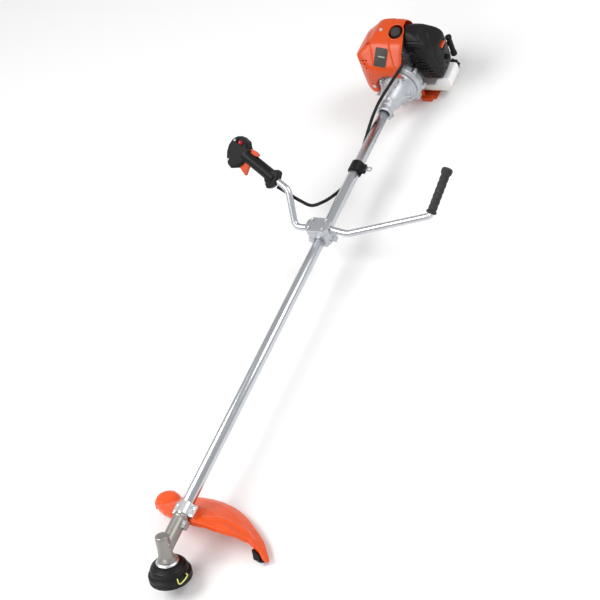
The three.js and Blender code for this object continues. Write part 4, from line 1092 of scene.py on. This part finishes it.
engineCover = {
    "voxel": 2.2,
    "rounds": 90,
    "swell": 2.2,
    "wall": 2.5,
    "seatRadius": 56,
    "fanRadius": 64,
    "fanDepth": 26.6,
    "fanMiddle": -63.7,
    "plugHole": (15, -21, 143),
    "plugRadius": 21.5,
    "plugLean": 22,
    "plugRim": [
        (20.4, -6), (21.4, -6), (21.4, 0.4), (23.6, 0.6), (23.8, 1.6), (22, 2.2), (20.4, 1.4), (20.4, -6),
    ],
    "plugRimRounding": 0.4,
    "seamDepth": 2.2,
    "seamLevels": (40, 70),
    "rightSeam": {"top": 134, "lean": 0.44, "start": -2.5, "end": 1.5},
    "leftSeam": {"top": 116, "lean": 0.3, "start": -50, "end": -46},
    "leftShare": 0.6,
    "vents": 5,
    "ventSize": (26, 4.6, 30),
    "ventShorter": 2.5,
    "ventStart": (-75, -1, 117),
    "ventStep": (3.2, -12, 0.8),
    "ventLean": -33,
    "holeStart": (-63, -84, 96),
    "holeDown": (1.2, -1.4, -10),
    "holeAcross": (-9, 3.0, -2.5),
    "holeRows": 8,
    "holeColumns": 3,
    "holeRadius": 2.4,
    "lip": [(54.4, -91), (57, -91), (58, -89), (58, -78), (54.4, -78), (54.4, -91)],
    "lipSides": 120,
    "lipCut": (140, 60, 240),
    "lipCutPlace": (72, -85, 0),
    "screwPlaces": ((-30, -14, 140), (-60, -92, 12), (-96, 20, 40), (-90, 24, 96)),
    "screw": [(0, -1), (5.2, -1), (5.4, 0.6), (4.6, 1.1), (2.3, 1.1), (2.1, 0), (0, 0)],
}


def hullOf(node):
    build = bmesh.new()
    build.from_mesh(nodes[node].data)
    result = bmesh.ops.convex_hull(build, input=build.verts)
    keep = {item for item in result["geom"] if isinstance(item, bmesh.types.BMFace)}
    bmesh.ops.delete(build, geom=[face for face in build.faces if face not in keep], context="FACES")
    bmesh.ops.delete(build, geom=[vertex for vertex in build.verts if not vertex.link_faces], context="VERTS")
    bmesh.ops.recalc_face_normals(build, faces=build.faces)
    return meshFrom(build)


hollow = {"reach": 0.03, "start": 0.55, "over": 0.45}  # metres, and shares of the half width


def hollowOf(mesh, wall, openSide):  # the inside of a shell, running out through one side
    inner = swollen(mesh.copy(), -wall)
    xs = [vertex.co.x for vertex in mesh.vertices]
    middle, half = (min(xs) + max(xs)) / 2, (max(xs) - min(xs)) / 2
    for vertex in inner.vertices:
        share = (vertex.co.x - middle) * openSide / half
        vertex.co.x += openSide * hollow["reach"] * max(0.0, share - hollow["start"]) / hollow["over"]
    return inner


def ramp(value, low, high):  # 0 below low, 1 above high, smooth between
    t = min(1.0, max(0.0, (value - low) / (high - low)))
    return t * t * (3 - 2 * t)


def seamRamp(seam, x, z):  # 0 on one side of a slanting seam, 1 on the other
    slant = (seam["top"] - z) * seam["lean"]
    return ramp(x, slant + seam["start"], slant + seam["end"])


# The spot on a mesh's surface nearest to a place in millimetres, as a matrix with Z along the normal.
def onSurface(tree, x, y, z):
    spot, normal, _, _ = tree.find_nearest(at(x, y, z).translation)
    return Matrix.Translation(spot) @ normal.to_track_quat("Z", "Y").to_matrix().to_4x4()


def makeEngineCover():
    spec = engineCover
    outer = swollen(softened(hullOf("engine_cover"), spec["voxel"] * mm, spec["rounds"], 1), spec["swell"])
    moves = []
    for vertex in outer.vertices:  # both sides are let in, so that the middle panel stands proud
        x, z = vertex.co.x / mm, (vertex.co.z - shaftZ) / mm
        facing = ramp(max(-vertex.normal.y, vertex.normal.z * 0.8), 0.3, 0.6) * ramp(z, *spec["seamLevels"])
        right, left = seamRamp(spec["rightSeam"], x, z), 1 - seamRamp(spec["leftSeam"], x, z)
        move = vertex.normal * spec["seamDepth"] * mm * facing * (right + spec["leftShare"] * left)
        moves.append((vertex, move))
    for vertex, move in moves:
        vertex.co -= move
    tree = BVHTree.FromPolygons([v.co for v in outer.vertices], [p.vertices[:] for p in outer.polygons])
    plugTurn = at(*spec["plugHole"]) @ turn(spec["plugLean"], "X")
    tools = [
        hollowOf(outer, spec["wall"], 1),
        rodMesh(spec["seatRadius"], 300, at(0, 0, 0) @ turn(90, "X"), 96, 0.1),
        rodMesh(spec["fanRadius"], spec["fanDepth"], at(0, spec["fanMiddle"], 0) @ turn(90, "X"), 96, 0.1),
        rodMesh(spec["plugRadius"], 60, plugTurn, 64, 0.1),
    ]
    for i in range(spec["vents"]):
        width, height, depth = spec["ventSize"]
        place = at(*stepped(spec["ventStart"], spec["ventStep"], i)) @ turn(spec["ventLean"], "Y")
        tools.append(boxMesh((width - spec["ventShorter"] * i, height, depth), place, 1.6, 2))
    start, down, across = (Vector(spec[name]) for name in ("holeStart", "holeDown", "holeAcross"))
    for row in range(spec["holeRows"]):
        for column in range(spec["holeColumns"]):
            place = onSurface(tree, *(start + down * row + across * (column + 0.5 * (row % 2))))
            tools.append(rodMesh(spec["holeRadius"], 14, place, 14, 0.1))
    shell = outer
    for tool in tools:
        shell = cutAway(shell, tool)
    newPiece("engine_cover_skin", shell, "engine_cover")
    lip = turned(spec["lip"], alongY, spec["lipSides"])
    lip = cutAway(lip, boxMesh(spec["lipCut"], at(*spec["lipCutPlace"])))
    detail("cover_seat_lip", lip, "engine_cover")
    screws = [turned(spec["screw"], onSurface(tree, *place), 32) for place in spec["screwPlaces"]]
    detail("cover_screws", joined(*screws), "engine_cover", slot="steel")
    roof = onSurface(tree, *spec["plugHole"]).translation
    rimPlace = plugTurn @ Matrix.Translation((0, 0, (roof - at(*spec["plugHole"]).translation).z))
    rim = turned(rounded(spec["plugRim"], spec["plugRimRounding"]), rimPlace)
    detail("plug_recess_rim", rim, "engine_cover")


labelPanel = {
    "width": 36,
    "height": 50,
    "thickness": 1.4,
    "corner": 5,
    "edge": 0.4,
    "middle": -18,
    "foot": (-98, 78),
    "head": (-55, 125),
    "lean": 8,
    "gap": 0.7,
    "stripeSize": (20, 0.6, 3.4),
    "stripePlace": (2, -0.9, 1.5),
    "stripeBevel": 0.25,
}


def makeLabel():
    spec = labelPanel
    slope = math.atan2(spec["head"][0] - spec["foot"][0], spec["head"][1] - spec["foot"][1])
    y, z = ((spec["foot"][i] + spec["head"][i]) / 2 for i in (0, 1))
    lift = engineCover["swell"] + spec["gap"]
    place = at(spec["middle"], y - lift * math.cos(slope), z + lift * math.sin(slope))
    place = place @ Matrix.Rotation(-slope, 4, "X") @ turn(spec["lean"], "Y")
    build = bmesh.new()
    build.from_mesh(boxMesh((spec["width"], spec["thickness"], spec["height"]), Matrix()))
    corners = [edge for edge in build.edges if abs(edge.verts[0].co.y - edge.verts[1].co.y) > 0.5 * mm]
    bmesh.ops.bevel(build, geom=corners, offset=spec["corner"] * mm, segments=6, profile=0.5, affect="EDGES")
    sharp = [edge for edge in build.edges if edge.calc_face_angle(0) > 1]
    bmesh.ops.bevel(build, geom=sharp, offset=spec["edge"] * mm, segments=2, profile=0.5, affect="EDGES")
    bmesh.ops.transform(build, matrix=place, verts=build.verts)
    newPiece("label_panel", meshFrom(build), "label_plate")
    stripe = boxMesh(spec["stripeSize"], place @ shift(*spec["stripePlace"]), spec["stripeBevel"])
    detail("label_stripe", stripe, "label_plate", material=labelInk)


makeEngineCover()
makeLabel()
print("engine cover")

airCover = {
    "voxel": 2.0,
    "rounds": 60,
    "swell": 1.6,
    "wall": 2.5,
    "grooves": (104, 111, 118),
    "grooveWidth": 1.5,
    "grooveDepth": 1.4,
    "grooveEnd": (82, 90),
    "faceMiddle": (12, 56),
    "faceReach": (34, 60),
    "faceDepth": 1.3,
    "faceWidth": 0.045,
    "overlap": 10,
    "fanRadius": 64,
    "louvres": 7,
    "louvreSize": (26, 60, 4),
    "louvreStart": (66, -50, 66),
    "louvreStep": (3.6, 3.4, -13),
    "louvreLean": -16,
    "slots": ((112, 4, -8), (112, 12, 6)),
    "slotSize": (40, 4, 13),
    "slotLean": 24,
    "window": (30, 30, 20),
    "windowPlace": (112, 20, 62),
    "knobRadius": 4,
    "knobPlace": (110, 18, 20),
    "cableRadius": 7.5,
    "cableAbove": -100,
}


def makeAirCleaner():
    spec = airCover
    outer = swollen(softened(hullOf("air_cleaner_cover"), spec["voxel"] * mm, spec["rounds"], 1), spec["swell"])
    moves = []
    for vertex in outer.vertices:  # grooves near the top, and one round the outer face
        x, y, z = vertex.co.x / mm, vertex.co.y / mm, (vertex.co.z - shaftZ) / mm
        groove = sum(math.exp(-(((z - level) / spec["grooveWidth"]) ** 2)) for level in spec["grooves"])
        front = ramp(-vertex.normal.y + 0.4 * vertex.normal.z, 0.15, 0.5) * (1 - ramp(x, *spec["grooveEnd"]))
        (middleY, middleZ), (reachY, reachZ) = spec["faceMiddle"], spec["faceReach"]
        around = math.hypot((y - middleY) / reachY, (z - middleZ) / reachZ) - 1
        rim = math.exp(-((around / spec["faceWidth"]) ** 2)) * ramp(vertex.normal.x, 0.1, 0.4)
        depth = spec["grooveDepth"] * groove * front + spec["faceDepth"] * rim
        moves.append((vertex, vertex.normal * mm * depth))
    for vertex, move in moves:
        vertex.co -= move
    for vertex in outer.vertices:  # the top leans over the engine cover's edge
        x, z = vertex.co.x / mm, (vertex.co.z - shaftZ) / mm
        vertex.co.x -= spec["overlap"] * mm * ramp(z, 55, 95) * (1 - ramp(x, 45, 75))
    fan = rodMesh(spec["fanRadius"], 60, at(0, 65, 0) @ turn(90, "X"), 96, 0.1)
    tools = [hollowOf(outer, spec["wall"], -1), fan]
    for i in range(spec["louvres"]):
        place = at(*stepped(spec["louvreStart"], spec["louvreStep"], i)) @ turn(spec["louvreLean"], "X")
        tools.append(boxMesh(spec["louvreSize"], place, 1.2, 2))
    for place in spec["slots"]:
        tools.append(boxMesh(spec["slotSize"], at(*place) @ turn(spec["slotLean"], "X"), 1.2, 2))
    tools.append(boxMesh(spec["window"], at(*spec["windowPlace"]), 3))
    tools.append(rodMesh(spec["knobRadius"], 40, at(*spec["knobPlace"]) @ turn(90, "Y"), 32, 0.1))
    x, _, z = throttleCable["route"][-1]
    tools.append(rodMesh(spec["cableRadius"], 34, at(x, -38, z + spec["cableAbove"]) @ turn(90, "X"), 32, 0.1))
    shell = outer
    for tool in tools:
        shell = cutAway(shell, tool)
    newPiece("air_cleaner_cover_skin", shell, "air_cleaner_cover")
    casting("choke_lever", voxel=0.5, rounds=4)
    casting("cover_knob", voxel=0.5, rounds=4)


makeAirCleaner()
print("air cleaner")

engineCastings = {
    "recoil_housing": {"voxel": 1.2, "rounds": 5},
    "starter_handle": {"voxel": 0.8, "rounds": 8},
    "fuel_tank": {"voxel": 2.0, "rounds": 30},
    "fuel_cap": {"voxel": 0.7, "rounds": 3},
    "stand": {"voxel": 1.2, "rounds": 6},
    "plug_cap": {"voxel": 0.7, "rounds": 10},
    "primer_bulb": {"voxel": 0.5, "rounds": 5},
    "muffler": {"voxel": 1.3, "rounds": 5},
    "carburettor": {"voxel": 0.9, "rounds": 3},
}
for node, settings in engineCastings.items():
    casting(node, **settings)
print("engine pieces")

studio = {
    "floor": (0.86, 0.86, 0.86),
    "floorReach": 9,
    "world": 0.55,
    "lamps": [  # place, aim, size, watts
        ((-1.5, -1.9, 3.0), (0, -0.7, 0.1), 2.2, 78),
        ((2.3, 0.6, 2.8), (0, -0.6, 0.1), 1.8, 50),
        ((0.5, -3.6, 1.8), (0, -0.9, 0.1), 1.4, 18),
    ],
}


def makeFloor():
    build = bmesh.new()
    bmesh.ops.create_grid(build, x_segments=8, y_segments=8, size=studio["floorReach"])
    paint = Paint("floor")
    cloud = paint.noise(1.5, 3)
    tone = paint.blend(cloud, shade(studio["floor"], 0.995), studio["floor"])
    floor = bpy.data.objects.new("floor", meshFrom(build))
    floor.data.materials.append(paint.finish(tone, 0.7 + 0.1 * cloud))
    bpy.context.scene.collection.objects.link(floor)


def makeLight():
    for index, (place, aim, size, watts) in enumerate(studio["lamps"]):
        lamp = bpy.data.lights.new(f"softbox{index + 1}", "AREA")
        lamp.shape, lamp.size, lamp.energy = "DISK", size, watts
        holder = bpy.data.objects.new(lamp.name, lamp)
        holder.location = place
        holder.rotation_euler = (Vector(aim) - Vector(place)).to_track_quat("-Z", "Y").to_euler()
        bpy.context.scene.collection.objects.link(holder)
    world = bpy.data.worlds.new("pale")
    world.use_nodes = True
    sky = world.node_tree.nodes["Background"]
    sky.inputs["Color"].default_value = (1, 1, 1, 1)
    sky.inputs["Strength"].default_value = studio["world"]
    bpy.context.scene.world = world
    bpy.context.scene.view_settings.view_transform = "Standard"


makeFloor()
makeLight()
print("floor and light")
